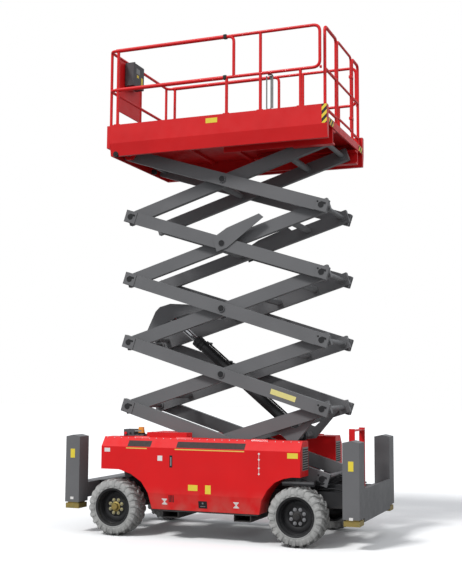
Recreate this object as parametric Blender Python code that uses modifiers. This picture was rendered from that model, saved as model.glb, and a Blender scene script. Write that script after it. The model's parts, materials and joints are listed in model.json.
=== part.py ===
"""A diesel rough-terrain scissor lift with five scissor levels, partly raised.

Frame: metres, +X to the machine's front, +Y to its left, +Z up, origin on the ground at the middle.
Each sub-part is one named object. A moving piece has its origin on the axis of its joint.
"""

import math

import bmesh
import bpy
from mathutils import Matrix, Vector

GAP = 0.0003            # between pieces that rest on each other
PIN_PLAY = 0.0015       # radial play of a pin in its bore
CLEAR = 0.006           # between pieces that move past each other

# scissor stack
LEVELS = 5
ARM_LENGTH = 2.62       # between the end pins
ARM_HALF_DEPTH = 0.0775
ARM_END = 0.075         # from an end pin to the arm's end
ARM_WIDTH = 0.075
INNER_LANE = 0.392      # inner face of the inner arms
LANE_GAP = 0.008
REST_ANGLE = math.radians(17.6)
PIN_R = 0.030
HEAD_R = 0.045
HEAD_T = 0.013
TUBE_R = 0.040          # cross tubes of an arm pair
ROLLER_R = 0.065

INNER_OUT = INNER_LANE + ARM_WIDTH
OUTER_LANE = INNER_OUT + LANE_GAP
OUTER_OUT = OUTER_LANE + ARM_WIDTH
HEAD_OUT = OUTER_OUT + 0.002 + HEAD_T
LEVEL_HEIGHT = ARM_LENGTH * math.sin(REST_ANGLE)
ARM_REACH = ARM_LENGTH * math.cos(REST_ANGLE)

# chassis
PIVOT_X = 1.137         # fixed front pivots of the stack
PIVOT_Z = 0.740
RAIL_TOP = 0.600
RAIL_BOTTOM = 0.420
RAIL_IN = 0.400
RAIL_OUT = 0.560
SPINE_IN = 0.240
SPINE_OUT = 0.380
CHASSIS_FRONT = 1.600
CHASSIS_REAR = -1.680
CROSS_BOTTOM = 0.460    # underside of the cross members over the axles

# wheels and axles
WHEELBASE = 2.290
WHEEL_R = 0.338
TYRE_WIDTH = 0.300
WHEEL_Y = 0.745         # middle plane of a wheel
RIM_R = 0.205           # seat of the tyre
KINGPIN_Y = 0.600
SPINDLE_R = 0.035
HUB_R = 0.080
SPINDLE_END = 0.790
STEER_ARM = 0.120       # from the kingpin back to the tie rod

# side enclosures and covers
HOOD_FRONT = 1.300
HOOD_REAR = -1.210
HOOD_TOP = 1.170
HOOD_IN = 0.585
HOOD_HINGE_Y = 0.800
HOOD_OUT = 0.893
HOOD_FOLD_Z = 1.061
HOOD_TUCK_Z = 0.531
HOOD_TUCK_Y = 0.866
HOOD_BOTTOM = 0.345
HOOD_SHEET = 0.006
ARCH_TOP = 0.777
COVER_SHEET = 0.004
HINGE_R = 0.008

# outriggers
OUTRIGGERS = (          # name, low x, high x, inner y, low z, top z
    ("front", 1.605, 1.795, 0.665, 0.375, 1.165),
    ("rear", -1.880, -1.690, 0.645, 0.345, 1.175),
)
OUTRIGGER_OUT = 0.885
FRAME_SHIFT = -(OUTRIGGERS[0][2] + OUTRIGGERS[1][1]) / 2   # brings the middle of the overall length to x = 0
OUTRIGGER_WALL = 0.012
LEG_PLAY = 0.0005       # in the guide collar at the mouth of the housing
LEG_ROOM = 0.011        # above the collar
COLLAR_HEIGHT = 0.050
LEG_TOP_GAP = 0.040
FOOT_DROP = 0.015
FOOT_HEIGHT = 0.060

# platform
PLATFORM_PIVOT_Z = PIVOT_Z + LEVELS * LEVEL_HEIGHT
FLOOR_TOP = PLATFORM_PIVOT_Z + 0.180
FLOOR_SHEET = 0.020
JOIST_HEIGHT = 0.035
DECK_REAR = -1.530
DECK_FRONT = 1.272
DECK_IN = 0.800
DECK_OUT = 0.875
TOE_TOP = FLOOR_TOP + 0.140
SILL_BOTTOM = FLOOR_TOP - 0.250
RAIL_TOP_Z = FLOOR_TOP + 1.095
RAIL_MID_Z = FLOOR_TOP + 0.590
RAIL_Y = 0.845
RAIL_R = 0.019
SLEEVE_R = 0.025
SLEEVE_BORE = 0.021
EXTENSION_REAR = -0.220
EXTENSION_FRONT = 1.320
EXTENSION_HALF = 0.785

# lift cylinder, as (distance from the front pin along the arm, height over the arm's line)
BASE_PIN = (2.130, -0.200)
ROD_PIN = (0.415, 0.235)
BARREL_R = 0.065
BARREL_BORE = 0.0465
BARREL_LENGTH = 1.825
BARREL_FLOOR = 0.105    # from the base pin to the bottom of the bore
GLAND_R = 0.077
GLAND_LENGTH = 0.045
PISTON_LENGTH = 0.035
ROD_R = 0.040
ROD_LENGTH = 1.779
EYE_R = 0.068
EYE_HALF = 0.045
ROD_EYE_R = 0.060
EAR_IN = GLAND_R + CLEAR
EAR_T = 0.022

RED = (0.62, 0.022, 0.018)
GREY = (0.16, 0.16, 0.16)
DARK = (0.035, 0.035, 0.037)
RUBBER = (0.27, 0.27, 0.26)
GOLD = (0.55, 0.38, 0.10)
STEEL = (0.55, 0.55, 0.56)
AMBER = (0.85, 0.28, 0.02)

ROUND = 12              # sides of a pin or bore
TUBE_SIDES = 8
WHEEL_SIDES = 24


def clear_scene():
    for obj in list(bpy.data.objects):
        bpy.data.objects.remove(obj, do_unlink=True)


def make_collection(name):
    collection = bpy.data.collections.new(name)
    bpy.context.scene.collection.children.link(collection)
    return collection


def material(name, color, roughness, metallic):
    made = bpy.data.materials.new(name)
    made.use_nodes = True
    shader = made.node_tree.nodes["Principled BSDF"]
    shader.inputs["Base Color"].default_value = (*color, 1.0)
    shader.inputs["Roughness"].default_value = roughness
    shader.inputs["Metallic"].default_value = metallic
    return made


# ---- simple shapes, each a temporary object in the tools collection

def tool_object(name, mesh):
    obj = bpy.data.objects.new(name, mesh)
    TOOLS.objects.link(obj)
    obj.hide_render = True
    obj.display_type = "WIRE"
    return obj


def tool_mesh(name, bm):
    bmesh.ops.recalc_face_normals(bm, faces=bm.faces[:])
    mesh = bpy.data.meshes.new(name)
    bm.to_mesh(mesh)
    bm.free()
    return tool_object(name, mesh)


def block(low, high):
    """A box between two corners."""
    bm = bmesh.new()
    size = [b - a for a, b in zip(low, high)]
    middle = [(a + b) / 2 for a, b in zip(low, high)]
    matrix = Matrix.Translation(middle) @ Matrix.Diagonal((*size, 1.0))
    bmesh.ops.create_cube(bm, size=1.0, matrix=matrix)
    return tool_mesh("block", bm)


def rod(start, end, radius, sides=ROUND, end_radius=None):
    """A cylinder or cone between two points."""
    start, end = Vector(start), Vector(end)
    turn = (end - start).to_track_quat("Z", "Y").to_matrix().to_4x4()
    matrix = Matrix.Translation((start + end) / 2) @ turn
    bm = bmesh.new()
    bmesh.ops.create_cone(
        bm, cap_ends=True, segments=sides, radius1=radius,
        radius2=radius if end_radius is None else end_radius,
        depth=(end - start).length, matrix=matrix)
    return tool_mesh("rod", bm)


def cross_rod(x, z, low_y, high_y, radius, sides=ROUND):
    """A cylinder along Y."""
    return rod((x, low_y, z), (x, high_y, z), radius, sides)


def mesh_of_curve(obj):
    """The curve as a welded mesh object; the curve is removed."""
    bpy.context.view_layer.update()
    graph = bpy.context.evaluated_depsgraph_get()
    mesh = bpy.data.meshes.new_from_object(obj.evaluated_get(graph))
    bm = bmesh.new()
    bm.from_mesh(mesh)
    bmesh.ops.remove_doubles(bm, verts=bm.verts[:], dist=0.00005)
    bmesh.ops.recalc_face_normals(bm, faces=bm.faces[:])
    bm.to_mesh(mesh)
    bm.free()
    made = tool_object(obj.name, mesh)
    made.matrix_world = obj.matrix_world.copy()
    bpy.data.objects.remove(obj, do_unlink=True)
    return made


def side_plate(points, low_y, high_y):
    """A flat outline given as (x, z) points, thick along Y."""
    curve = bpy.data.curves.new("plate", "CURVE")
    curve.dimensions = "2D"
    curve.fill_mode = "BOTH"
    curve.extrude = (high_y - low_y) / 2
    spline = curve.splines.new("POLY")
    spline.points.add(len(points) - 1)
    for point, (x, z) in zip(spline.points, points):
        point.co = (x, z, 0.0, 1.0)
    spline.use_cyclic_u = True
    obj = bpy.data.objects.new("plate", curve)
    TOOLS.objects.link(obj)
    stand = Matrix.Rotation(math.radians(90), 4, "X")
    obj.matrix_world = Matrix.Translation((0, (low_y + high_y) / 2, 0)) @ stand
    return mesh_of_curve(obj)


def long_profile(points, low_x, high_x):
    """A flat outline given as (y, z) points, drawn out along X."""
    curve = bpy.data.curves.new("profile", "CURVE")
    curve.dimensions = "2D"
    curve.fill_mode = "BOTH"
    curve.extrude = (high_x - low_x) / 2
    spline = curve.splines.new("POLY")
    spline.points.add(len(points) - 1)
    for point, (y, z) in zip(spline.points, points):
        point.co = (y, z, 0.0, 1.0)
    spline.use_cyclic_u = True
    obj = bpy.data.objects.new("profile", curve)
    TOOLS.objects.link(obj)
    stand = Matrix(((0, 0, 1, 0), (1, 0, 0, 0), (0, 1, 0, 0), (0, 0, 0, 1)))
    obj.matrix_world = Matrix.Translation(((low_x + high_x) / 2, 0, 0)) @ stand
    return mesh_of_curve(obj)


def bent_tube(points, radius, closed=False):
    """A tube along straight runs between points."""
    curve = bpy.data.curves.new("tube", "CURVE")
    curve.dimensions = "3D"
    curve.bevel_depth = radius
    curve.bevel_resolution = 1
    curve.use_fill_caps = True
    spline = curve.splines.new("POLY")
    spline.points.add(len(points) - 1)
    for point, place in zip(spline.points, points):
        point.co = (*place, 1.0)
    spline.use_cyclic_u = closed
    obj = bpy.data.objects.new("tube", curve)
    TOOLS.objects.link(obj)
    return mesh_of_curve(obj)


def turned(profile, centre, steps=ROUND):
    """A ring or wheel turned about an axis along Y, from (radius, y) points of a closed outline."""
    mesh = bpy.data.meshes.new("turned")
    points = [(radius, 0.0, y) for radius, y in profile]
    edges = [(i, (i + 1) % len(points)) for i in range(len(points))]
    mesh.from_pydata(points, edges, [])
    obj = tool_object("turned", mesh)
    screw = obj.modifiers.new("turn", "SCREW")
    screw.axis = "Z"
    screw.steps = steps
    screw.render_steps = steps
    screw.use_merge_vertices = True
    screw.merge_threshold = 0.0001
    bpy.context.view_layer.update()
    graph = bpy.context.evaluated_depsgraph_get()
    solid = bpy.data.meshes.new_from_object(obj.evaluated_get(graph))
    bpy.data.objects.remove(obj, do_unlink=True)
    bm = bmesh.new()
    bm.from_mesh(solid)
    bmesh.ops.remove_doubles(bm, verts=bm.verts[:], dist=0.00005)
    bmesh.ops.recalc_face_normals(bm, faces=bm.faces[:])
    bmesh.ops.transform(bm, matrix=Matrix.Rotation(math.radians(-90), 4, "X"), verts=bm.verts[:])
    bmesh.ops.translate(bm, vec=centre, verts=bm.verts[:])
    bm.to_mesh(solid)
    bm.free()
    return tool_object("turned", solid)


# ---- joining and finishing

def apply_boolean(obj, others, operation):
    """Joins or cuts with all the others at once, and removes them."""
    if not others:
        return
    group = bpy.data.collections.new("operands")
    bpy.context.scene.collection.children.link(group)
    for other in others:
        group.objects.link(other)
    modifier = obj.modifiers.new(operation.lower(), "BOOLEAN")
    modifier.operation = operation
    modifier.solver = "EXACT"
    modifier.operand_type = "COLLECTION"
    modifier.collection = group
    bpy.context.view_layer.update()
    graph = bpy.context.evaluated_depsgraph_get()
    mesh = bpy.data.meshes.new_from_object(obj.evaluated_get(graph))
    obj.modifiers.clear()
    obj.data = mesh
    for other in others:
        bpy.data.objects.remove(other, do_unlink=True)
    bpy.data.collections.remove(group)


def part(name, adds, cuts=(), finish=None, pivot=(0, 0, 0), mirrored=False):
    """One named sub-part: the adds joined, then the cuts taken off, with its origin at the pivot."""
    obj = adds[0]
    apply_boolean(obj, list(adds[1:]), "UNION")
    apply_boolean(obj, list(cuts), "DIFFERENCE")
    bm = bmesh.new()
    bm.from_mesh(obj.data)
    bmesh.ops.transform(bm, matrix=obj.matrix_world, verts=bm.verts[:])
    if mirrored:
        bmesh.ops.scale(bm, vec=(1, -1, 1), verts=bm.verts[:])
        bmesh.ops.reverse_faces(bm, faces=bm.faces[:])
        pivot = (pivot[0], -pivot[1], pivot[2])
    bmesh.ops.translate(bm, vec=[-value for value in pivot], verts=bm.verts[:])
    mesh = bpy.data.meshes.new(name)
    bm.to_mesh(mesh)
    bm.free()
    bpy.data.objects.remove(obj, do_unlink=True)
    mesh.materials.append(material(name, *finish))
    mesh.shade_smooth()
    mesh.set_sharp_from_angle(angle=math.radians(35))
    made = bpy.data.objects.new(name, mesh)
    made.location = (pivot[0] + FRAME_SHIFT, pivot[1], pivot[2])
    PARTS.objects.link(made)
    return made


PAINT_RED = (RED, 0.35, 0.0)
PAINT_GREY = (GREY, 0.5, 0.0)
PAINT_DARK = (DARK, 0.5, 0.0)
FINISH_RUBBER = (RUBBER, 0.9, 0.0)
FINISH_GOLD = (GOLD, 0.4, 0.6)
FINISH_STEEL = (STEEL, 0.25, 1.0)
FINISH_AMBER = (AMBER, 0.2, 0.0)
SIDES = (("left", 1), ("right", -1))


def both_sides(shape, low, high):
    """The same box on the left and the right."""
    return [
        shape((low[0], low[1], low[2]), (high[0], high[1], high[2])),
        shape((low[0], -high[1], low[2]), (high[0], -low[1], high[2])),
    ]


# ---- chassis

FORK_POCKETS = (0.390, -0.510)   # x of each pocket's middle
POCKET_HALF = 0.103
POCKET_LOW = 0.252
POCKET_HIGH = 0.332
POCKET_WALL = 0.008
TRAY_LOW = 0.3347
TRAY_HIGH = HOOD_BOTTOM - GAP
TRACK_IN = 0.410
TRACK_OUT = 0.465
TRACK_REAR = -1.600
TRACK_FRONT = -0.150


def chassis_frame():
    adds = []
    adds += both_sides(block, (CHASSIS_REAR, RAIL_IN, RAIL_BOTTOM), (0.600, RAIL_OUT, RAIL_TOP))
    adds += both_sides(block, (0.450, SPINE_IN, RAIL_BOTTOM), (CHASSIS_FRONT, SPINE_OUT, RAIL_TOP))
    adds += both_sides(
        block, (TRACK_REAR, TRACK_IN, RAIL_TOP - 0.02), (TRACK_FRONT, TRACK_OUT, PIVOT_Z - ROLLER_R - GAP))
    cross_members = (  # low x, high x, half width, low z
        (CHASSIS_REAR, CHASSIS_REAR + 0.10, RAIL_OUT, RAIL_BOTTOM),
        (-1.205, -1.085, RAIL_OUT, CROSS_BOTTOM),
        (-0.450, -0.350, RAIL_OUT, CROSS_BOTTOM),
        (0.450, 0.600, RAIL_OUT, RAIL_BOTTOM),
        (1.085, 1.205, SPINE_OUT, CROSS_BOTTOM),
        (CHASSIS_FRONT - 0.10, CHASSIS_FRONT, SPINE_OUT, RAIL_BOTTOM),
    )
    for low_x, high_x, half, low_z in cross_members:
        adds.append(block((low_x, -half, low_z), (high_x, half, RAIL_TOP)))
    ear_in, ear_out = INNER_LANE - 0.056, INNER_LANE - CLEAR
    for side in (1, -1):
        low_y, high_y = sorted((side * ear_in, side * ear_out))
        outline = [(PIVOT_X - 0.10, 0.50), (PIVOT_X + 0.10, 0.50), (PIVOT_X + 0.10, 0.62),
                   (PIVOT_X + 0.05, PIVOT_Z + 0.05), (PIVOT_X - 0.05, PIVOT_Z + 0.05), (PIVOT_X - 0.10, 0.62)]
        adds.append(side_plate(outline, low_y, high_y))
        pin_out = INNER_OUT + 0.001
        adds.append(cross_rod(PIVOT_X, PIVOT_Z, side * ear_in, side * (pin_out + 0.001), PIN_R))
        adds.append(cross_rod(PIVOT_X, PIVOT_Z, side * pin_out, side * (pin_out + HEAD_T), HEAD_R))
    cuts = []
    for x in FORK_POCKETS:
        adds.append(block((x - POCKET_HALF, -0.860, POCKET_LOW), (x + POCKET_HALF, 0.860, POCKET_HIGH)))
        cuts.append(block(
            (x - POCKET_HALF + POCKET_WALL, -0.9, POCKET_LOW + POCKET_WALL),
            (x + POCKET_HALF - POCKET_WALL, 0.9, POCKET_HIGH - POCKET_WALL)))
        adds += both_sides(
            block, (x - 0.09, 0.440, POCKET_HIGH - 0.004), (x + 0.09, 0.520, RAIL_BOTTOM + 0.02))
    for side in (1, -1):
        low_y, high_y = sorted((side * RAIL_IN, side * 0.860))
        adds.append(block((-0.700, low_y, TRAY_LOW - 0.006), (0.620, high_y, TRAY_HIGH)))
    return part("chassis_frame", adds, cuts, PAINT_DARK)


def engine_block():
    low = (-0.600, -0.850, HOOD_BOTTOM + HOOD_SHEET + GAP)
    return part("engine_block", [block(low, (0.150, -0.620, 0.900))], (), PAINT_DARK)


def valve_block():
    low = (CHASSIS_REAR + 0.012, 0.270, RAIL_TOP + GAP)
    return part("valve_block", [block(low, (CHASSIS_REAR + 0.090, TRACK_IN - 0.015, 0.820))], (), PAINT_DARK)


# ---- axles, knuckles and wheels

REAR_X = -WHEELBASE / 2
FRONT_X = WHEELBASE / 2
YOKE_HALF_HEIGHT = 0.100
YOKE_T = 0.032
KINGPIN_R = 0.018


def rear_axle():
    adds = [block((REAR_X - 0.05, -0.500, WHEEL_R - 0.05), (REAR_X + 0.05, 0.500, WHEEL_R + 0.05))]
    for side in (1, -1):
        adds.append(cross_rod(REAR_X, WHEEL_R, side * 0.49, side * 0.640, HUB_R))
        adds.append(cross_rod(REAR_X, WHEEL_R, side * 0.62, side * SPINDLE_END, SPINDLE_R))
    adds += both_sides(
        block, (REAR_X - 0.045, 0.420, WHEEL_R), (REAR_X + 0.045, 0.500, RAIL_BOTTOM - GAP))
    return part("rear_axle", adds, (), PAINT_DARK)


def front_axle():
    beam_end = KINGPIN_Y - 0.130
    adds = [block((FRONT_X - 0.05, -beam_end, WHEEL_R - 0.06), (FRONT_X + 0.05, beam_end, WHEEL_R + 0.06))]
    adds.append(block((FRONT_X - 0.05, -0.12, WHEEL_R), (FRONT_X + 0.05, 0.12, CROSS_BOTTOM - GAP)))
    top = YOKE_HALF_HEIGHT + YOKE_T
    for side in (1, -1):
        low_y, high_y = sorted((side * (beam_end - 0.03), side * beam_end))
        adds.append(block((FRONT_X - 0.045, low_y, WHEEL_R - top), (FRONT_X + 0.045, high_y, WHEEL_R + top)))
        low_y, high_y = sorted((side * (beam_end - 0.03), side * (KINGPIN_Y + 0.030)))
        for low_z in (YOKE_HALF_HEIGHT, -top):
            adds.append(block(
                (FRONT_X - 0.040, low_y, WHEEL_R + low_z),
                (FRONT_X + 0.040, high_y, WHEEL_R + low_z + YOKE_T)))
        adds.append(rod(
            (FRONT_X, side * KINGPIN_Y, WHEEL_R - top - 0.008),
            (FRONT_X, side * KINGPIN_Y, WHEEL_R + top + 0.008), KINGPIN_R))
    return part("front_axle", adds, (), PAINT_DARK)


TIE_X = FRONT_X - STEER_ARM
TIE_Y = KINGPIN_Y       # level with the kingpin, so that the linkage stays a parallelogram
TIE_PIN_R = 0.012
TIE_PLAY = 0.0009


def knuckle(side_name, side):
    half = YOKE_HALF_HEIGHT - 0.0005
    pivot = (FRONT_X, KINGPIN_Y, WHEEL_R)
    adds = [
        rod((FRONT_X, KINGPIN_Y, WHEEL_R - half), (FRONT_X, KINGPIN_Y, WHEEL_R + half), 0.045),
        cross_rod(FRONT_X, WHEEL_R, KINGPIN_Y + 0.02, SPINDLE_END, SPINDLE_R),
        block(
            (TIE_X - 0.018, TIE_Y - 0.018, WHEEL_R - 0.012),
            (FRONT_X - 0.02, TIE_Y + 0.018, WHEEL_R + 0.012)),
        rod((TIE_X, TIE_Y, WHEEL_R - 0.045), (TIE_X, TIE_Y, WHEEL_R), TIE_PIN_R),
    ]
    bore = rod(
        (FRONT_X, KINGPIN_Y, WHEEL_R - 0.2), (FRONT_X, KINGPIN_Y, WHEEL_R + 0.2), KINGPIN_R + PIN_PLAY)
    return part(
        f"{side_name}_steering_knuckle", adds, [bore], PAINT_DARK, pivot, mirrored=side < 0)


def tie_rod():
    z = WHEEL_R - 0.030
    adds = [cross_rod(TIE_X, z, -TIE_Y + 0.02, TIE_Y - 0.02, 0.012, TUBE_SIDES)]
    cuts = []
    for side in (1, -1):
        adds.append(rod((TIE_X, side * TIE_Y, z - 0.015), (TIE_X, side * TIE_Y, z + 0.015), 0.026))
        cuts.append(rod(
            (TIE_X, side * TIE_Y, z - 0.05), (TIE_X, side * TIE_Y, z + 0.05), TIE_PIN_R + TIE_PLAY))
    return part("tie_rod", adds, cuts, PAINT_DARK, (TIE_X, TIE_Y, z))


WHEELS = (  # name, x, side
    ("front_left", FRONT_X, 1),
    ("front_right", FRONT_X, -1),
    ("rear_left", REAR_X, 1),
    ("rear_right", REAR_X, -1),
)


def tyre(name, x, side):
    half = TYRE_WIDTH / 2
    seat = RIM_R + GAP
    profile = [  # radius, y from the wheel's middle
        (WHEEL_R, -half + 0.040), (WHEEL_R, half - 0.040), (WHEEL_R - 0.030, half),
        (WHEEL_R - 0.085, half), (seat, half - 0.024), (seat, -half + 0.024),
        (WHEEL_R - 0.085, -half), (WHEEL_R - 0.030, -half),
    ]
    centre = (x, WHEEL_Y, WHEEL_R)
    return part(f"{name}_tyre", [turned(profile, centre, WHEEL_SIDES)], (), FINISH_RUBBER, centre, side < 0)


def rim(name, x, side):
    half = TYRE_WIDTH / 2
    flange = half - 0.0215
    bore = SPINDLE_R + PIN_PLAY
    profile = [  # radius, y from the wheel's middle; the outer side first
        (RIM_R, flange), (RIM_R + 0.018, half - 0.012), (RIM_R - 0.012, half - 0.012),
        (RIM_R - 0.022, 0.035), (0.105, 0.035), (0.095, 0.098), (0.0, 0.098), (0.0, 0.052),
        (bore, 0.052), (bore, -0.060), (0.085, -0.060), (0.085, 0.000),
        (RIM_R - 0.022, 0.000), (RIM_R - 0.012, -half + 0.012), (RIM_R + 0.018, -half + 0.012),
        (RIM_R, -flange),
    ]
    centre = (x, WHEEL_Y, WHEEL_R)
    return part(f"{name}_rim", [turned(profile, centre, WHEEL_SIDES)], (), PAINT_DARK, centre, side < 0)


# ---- side enclosures and covers

def hood_outline(inset=0.0):
    """The enclosure seen from the side, with its two wheel arches, as (x, z) points."""
    i = inset
    return [
        (HOOD_FRONT - i, HOOD_TOP - i), (HOOD_FRONT - i, 0.790 + i), (1.060 - i * 0.2, 0.790 + i),
        (0.900 - i * 0.4, 0.742 + i), (0.760 - i * 0.7, 0.655 + i * 0.8), (0.672 - i, 0.530 + i * 0.4),
        (0.630 - i, HOOD_BOTTOM + i), (-0.715 + i, HOOD_BOTTOM + i), (-0.748 + i, 0.500 + i * 0.2),
        (-0.820 + i * 0.8, 0.625 + i * 0.6), (-0.905 + i * 0.5, 0.710 + i * 0.9),
        (-1.010 + i * 0.3, 0.757 + i), (-1.110, ARCH_TOP + i), (HOOD_REAR + i, ARCH_TOP + i),
        (HOOD_REAR + i, HOOD_TOP - i),
    ]


def enclosure(side_name, side):
    t = HOOD_SHEET
    side_in = HOOD_OUT - 0.008
    adds = [side_plate(hood_outline(), HOOD_IN, side_in)]
    cuts = [side_plate(hood_outline(t), HOOD_IN + t, side_in + 0.05)]
    slope = [(HOOD_HINGE_Y - 0.006, HOOD_TOP + 0.05), (HOOD_HINGE_Y - 0.006, HOOD_TOP - 0.004),
             (side_in, HOOD_FOLD_Z - 0.004), (side_in + 0.1, HOOD_FOLD_Z - 0.004),
             (side_in + 0.1, HOOD_TOP + 0.05)]
    cuts.append(long_profile(slope, HOOD_REAR - 0.1, HOOD_FRONT + 0.1))
    tuck = [(side_in + 0.001, HOOD_TUCK_Z), (HOOD_TUCK_Y - 0.010, HOOD_BOTTOM - 0.01),
            (side_in + 0.1, HOOD_BOTTOM - 0.01), (side_in + 0.1, HOOD_TUCK_Z)]
    cuts.append(long_profile(tuck, HOOD_REAR - 0.1, HOOD_FRONT + 0.1))
    if side > 0:
        bulge = block((0.230, 0.610, HOOD_TOP - 0.003), (0.750, 0.775, HOOD_TOP + 0.062))
        adds.append(bulge)
    hinge_z = HOOD_TOP + HINGE_R + 0.001
    for low_x, high_x in HINGE_FIXED:
        adds.append(rod((low_x, HOOD_HINGE_Y, hinge_z), (high_x, HOOD_HINGE_Y, hinge_z), HINGE_R, TUBE_SIDES))
        adds.append(block(
            (low_x, HOOD_HINGE_Y - 0.020, HOOD_TOP - 0.003), (high_x, HOOD_HINGE_Y, HOOD_TOP + 0.005)))
    return part(f"{side_name}_enclosure", adds, cuts, PAINT_RED, mirrored=side < 0)


HINGE_FIXED = ((-1.000, -0.800), (-0.050, 0.150), (0.900, 1.100))
HINGE_MOVING = ((-0.7995, -0.600), (0.1505, 0.350), (0.700, 0.8995))


def cover(side_name, side):
    """The outer skin, hinged along its top edge."""
    t = COVER_SHEET
    outer = [(HOOD_HINGE_Y + 0.004, HOOD_TOP + 0.0035), (HOOD_OUT, HOOD_FOLD_Z),
             (HOOD_OUT, HOOD_TUCK_Z), (HOOD_TUCK_Y, HOOD_BOTTOM)]
    inner = [(HOOD_TUCK_Y - t, HOOD_BOTTOM), (HOOD_OUT - t, HOOD_TUCK_Z), (HOOD_OUT - t, HOOD_FOLD_Z - 0.001),
             (HOOD_HINGE_Y + 0.004, HOOD_TOP - 0.001)]
    hinge_z = HOOD_TOP + HINGE_R + 0.001
    skin = long_profile(outer + inner, HOOD_REAR, HOOD_FRONT)
    outline = hood_outline()
    arch_front = [(0.630, HOOD_BOTTOM - 0.05)] + outline[6:1:-1] + [
        (HOOD_FRONT + 0.05, 0.790), (HOOD_FRONT + 0.05, HOOD_BOTTOM - 0.05)]
    arch_rear = [(HOOD_REAR - 0.05, HOOD_BOTTOM - 0.05), (HOOD_REAR - 0.05, ARCH_TOP)] + outline[13:6:-1] + [
        (-0.715, HOOD_BOTTOM - 0.05)]
    cuts = [side_plate(arch_front, 0.7, 1.0), side_plate(arch_rear, 0.7, 1.0)]
    adds = [skin]
    for low_x, high_x in HINGE_MOVING:
        adds.append(rod((low_x, HOOD_HINGE_Y, hinge_z), (high_x, HOOD_HINGE_Y, hinge_z), HINGE_R, TUBE_SIDES))
        adds.append(long_profile(
            [(HOOD_HINGE_Y, hinge_z - 0.003), (HOOD_HINGE_Y + 0.010, HOOD_TOP - 0.006),
             (HOOD_HINGE_Y + 0.018, HOOD_TOP - 0.010), (HOOD_HINGE_Y + 0.004, hinge_z + 0.006)],
            low_x, high_x))
    return part(
        f"{side_name}_cover", adds, cuts, PAINT_RED, (0, HOOD_HINGE_Y, hinge_z), mirrored=side < 0)


def fender_bar(side_name, side):
    adds = [
        rod((-1.360, 0.842, 0.708), (-0.990, 0.842, 0.708), 0.030, TUBE_SIDES),
        block((-1.200, 0.825, 0.708), (-1.150, 0.860, ARCH_TOP - GAP)),
    ]
    return part(f"{side_name}_fender_bar", adds, (), PAINT_DARK, mirrored=side < 0)


def ladder():
    adds = []
    base = RAIL_TOP + GAP
    for side in (1, -1):
        low_y, high_y = sorted((side * 0.234, side * 0.248))
        adds.append(block((-1.670, low_y, base), (-1.600, high_y, 1.300)))
    adds.append(block((-1.670, -0.248, 1.270), (-1.600, 0.248, 1.284)))
    for z in (0.760, 0.930, 1.100):
        adds.append(cross_rod(-1.635, z, -0.240, 0.240, 0.012, TUBE_SIDES))
    return part("rear_ladder", adds, (), PAINT_RED)


def ground_control_box():
    low = HOOD_TOP + GAP
    adds = [block((0.925, 0.620, low), (1.065, 0.770, 1.262)),
            block((0.800, 0.640, low), (0.930, 0.770, 1.205))]
    return part("ground_control_box", adds, (), PAINT_GREY)


def beacon():
    adds = [rod((0.860, 0.705, 1.205 + GAP), (0.860, 0.705, 1.222), 0.045),
            rod((0.860, 0.705, 1.221), (0.860, 0.705, 1.290), 0.040, ROUND, 0.034)]
    return part("beacon", adds, (), FINISH_AMBER)


# ---- outriggers

def outrigger_frame(name, low_x, high_x, in_y, low_z, top_z):
    w = OUTRIGGER_WALL
    front = low_x > 0
    beam = (CHASSIS_FRONT + GAP, high_x - 0.015) if front else (low_x + 0.020, CHASSIS_REAR - GAP)
    adds = [block((beam[0], -in_y - 0.005, RAIL_BOTTOM), (beam[1], in_y + 0.005, RAIL_TOP))]
    if not front:
        adds.append(block((low_x, -in_y - 0.005, 0.300), (low_x + 0.021, in_y + 0.005, 0.660)))
    cuts = []
    middle = (low_x + high_x) / 2
    leg = LEG_HALF_X
    leg_y = LEG_HALF_Y
    middle_y = (in_y + OUTRIGGER_OUT) / 2
    for side in (1, -1):
        low_y, high_y = sorted((side * in_y, side * OUTRIGGER_OUT))
        roof = [(low_x, low_z), (high_x, low_z), (high_x, top_z), (middle, top_z + 0.020), (low_x, top_z)]
        adds.append(side_plate(roof, low_y, high_y))
        y = side * middle_y
        cuts.append(block(
            (middle - leg - LEG_PLAY, y - leg_y - LEG_PLAY, low_z - 0.1),
            (middle + leg + LEG_PLAY, y + leg_y + LEG_PLAY, low_z + COLLAR_HEIGHT + 0.001)))
        cuts.append(block(
            (middle - leg - LEG_ROOM, y - leg_y - LEG_ROOM, low_z + COLLAR_HEIGHT),
            (middle + leg + LEG_ROOM, y + leg_y + LEG_ROOM, top_z - w)))
    return part(f"{name}_outrigger_frame", adds, cuts, PAINT_GREY)


LEG_HALF_X = 0.070
LEG_HALF_Y = 0.082


def outrigger_leg(name, side_name, side, low_x, high_x, in_y, low_z, top_z):
    middle = (low_x + high_x) / 2
    middle_y = (in_y + OUTRIGGER_OUT) / 2
    foot_top = low_z - FOOT_DROP
    adds = [
        block((middle - LEG_HALF_X, middle_y - LEG_HALF_Y, foot_top - 0.001),
              (middle + LEG_HALF_X, middle_y + LEG_HALF_Y, top_z - OUTRIGGER_WALL - LEG_TOP_GAP)),
        block(
            (middle - 0.090, middle_y - 0.100, foot_top - FOOT_HEIGHT),
            (middle + 0.090, middle_y + 0.100, foot_top)),
    ]
    pivot = (middle, middle_y, foot_top)
    return part(f"{name}_{side_name}_outrigger_leg", adds, (), FINISH_GOLD, pivot, side < 0)


# ---- scissor arms, built straight: local x is forward from the arm's middle, then turned to the rest angle

HALF_LENGTH = ARM_LENGTH / 2


def level_height(boundary):
    return PIVOT_Z + boundary * LEVEL_HEIGHT


def joint_place(boundary, front):
    """World (x, z) of the end joints at the boundary above the given level."""
    return (PIVOT_X if front else PIVOT_X - ARM_REACH, level_height(boundary))


def middle_place(level):
    return (PIVOT_X - ARM_REACH / 2, level_height(level - 0.5))


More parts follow.
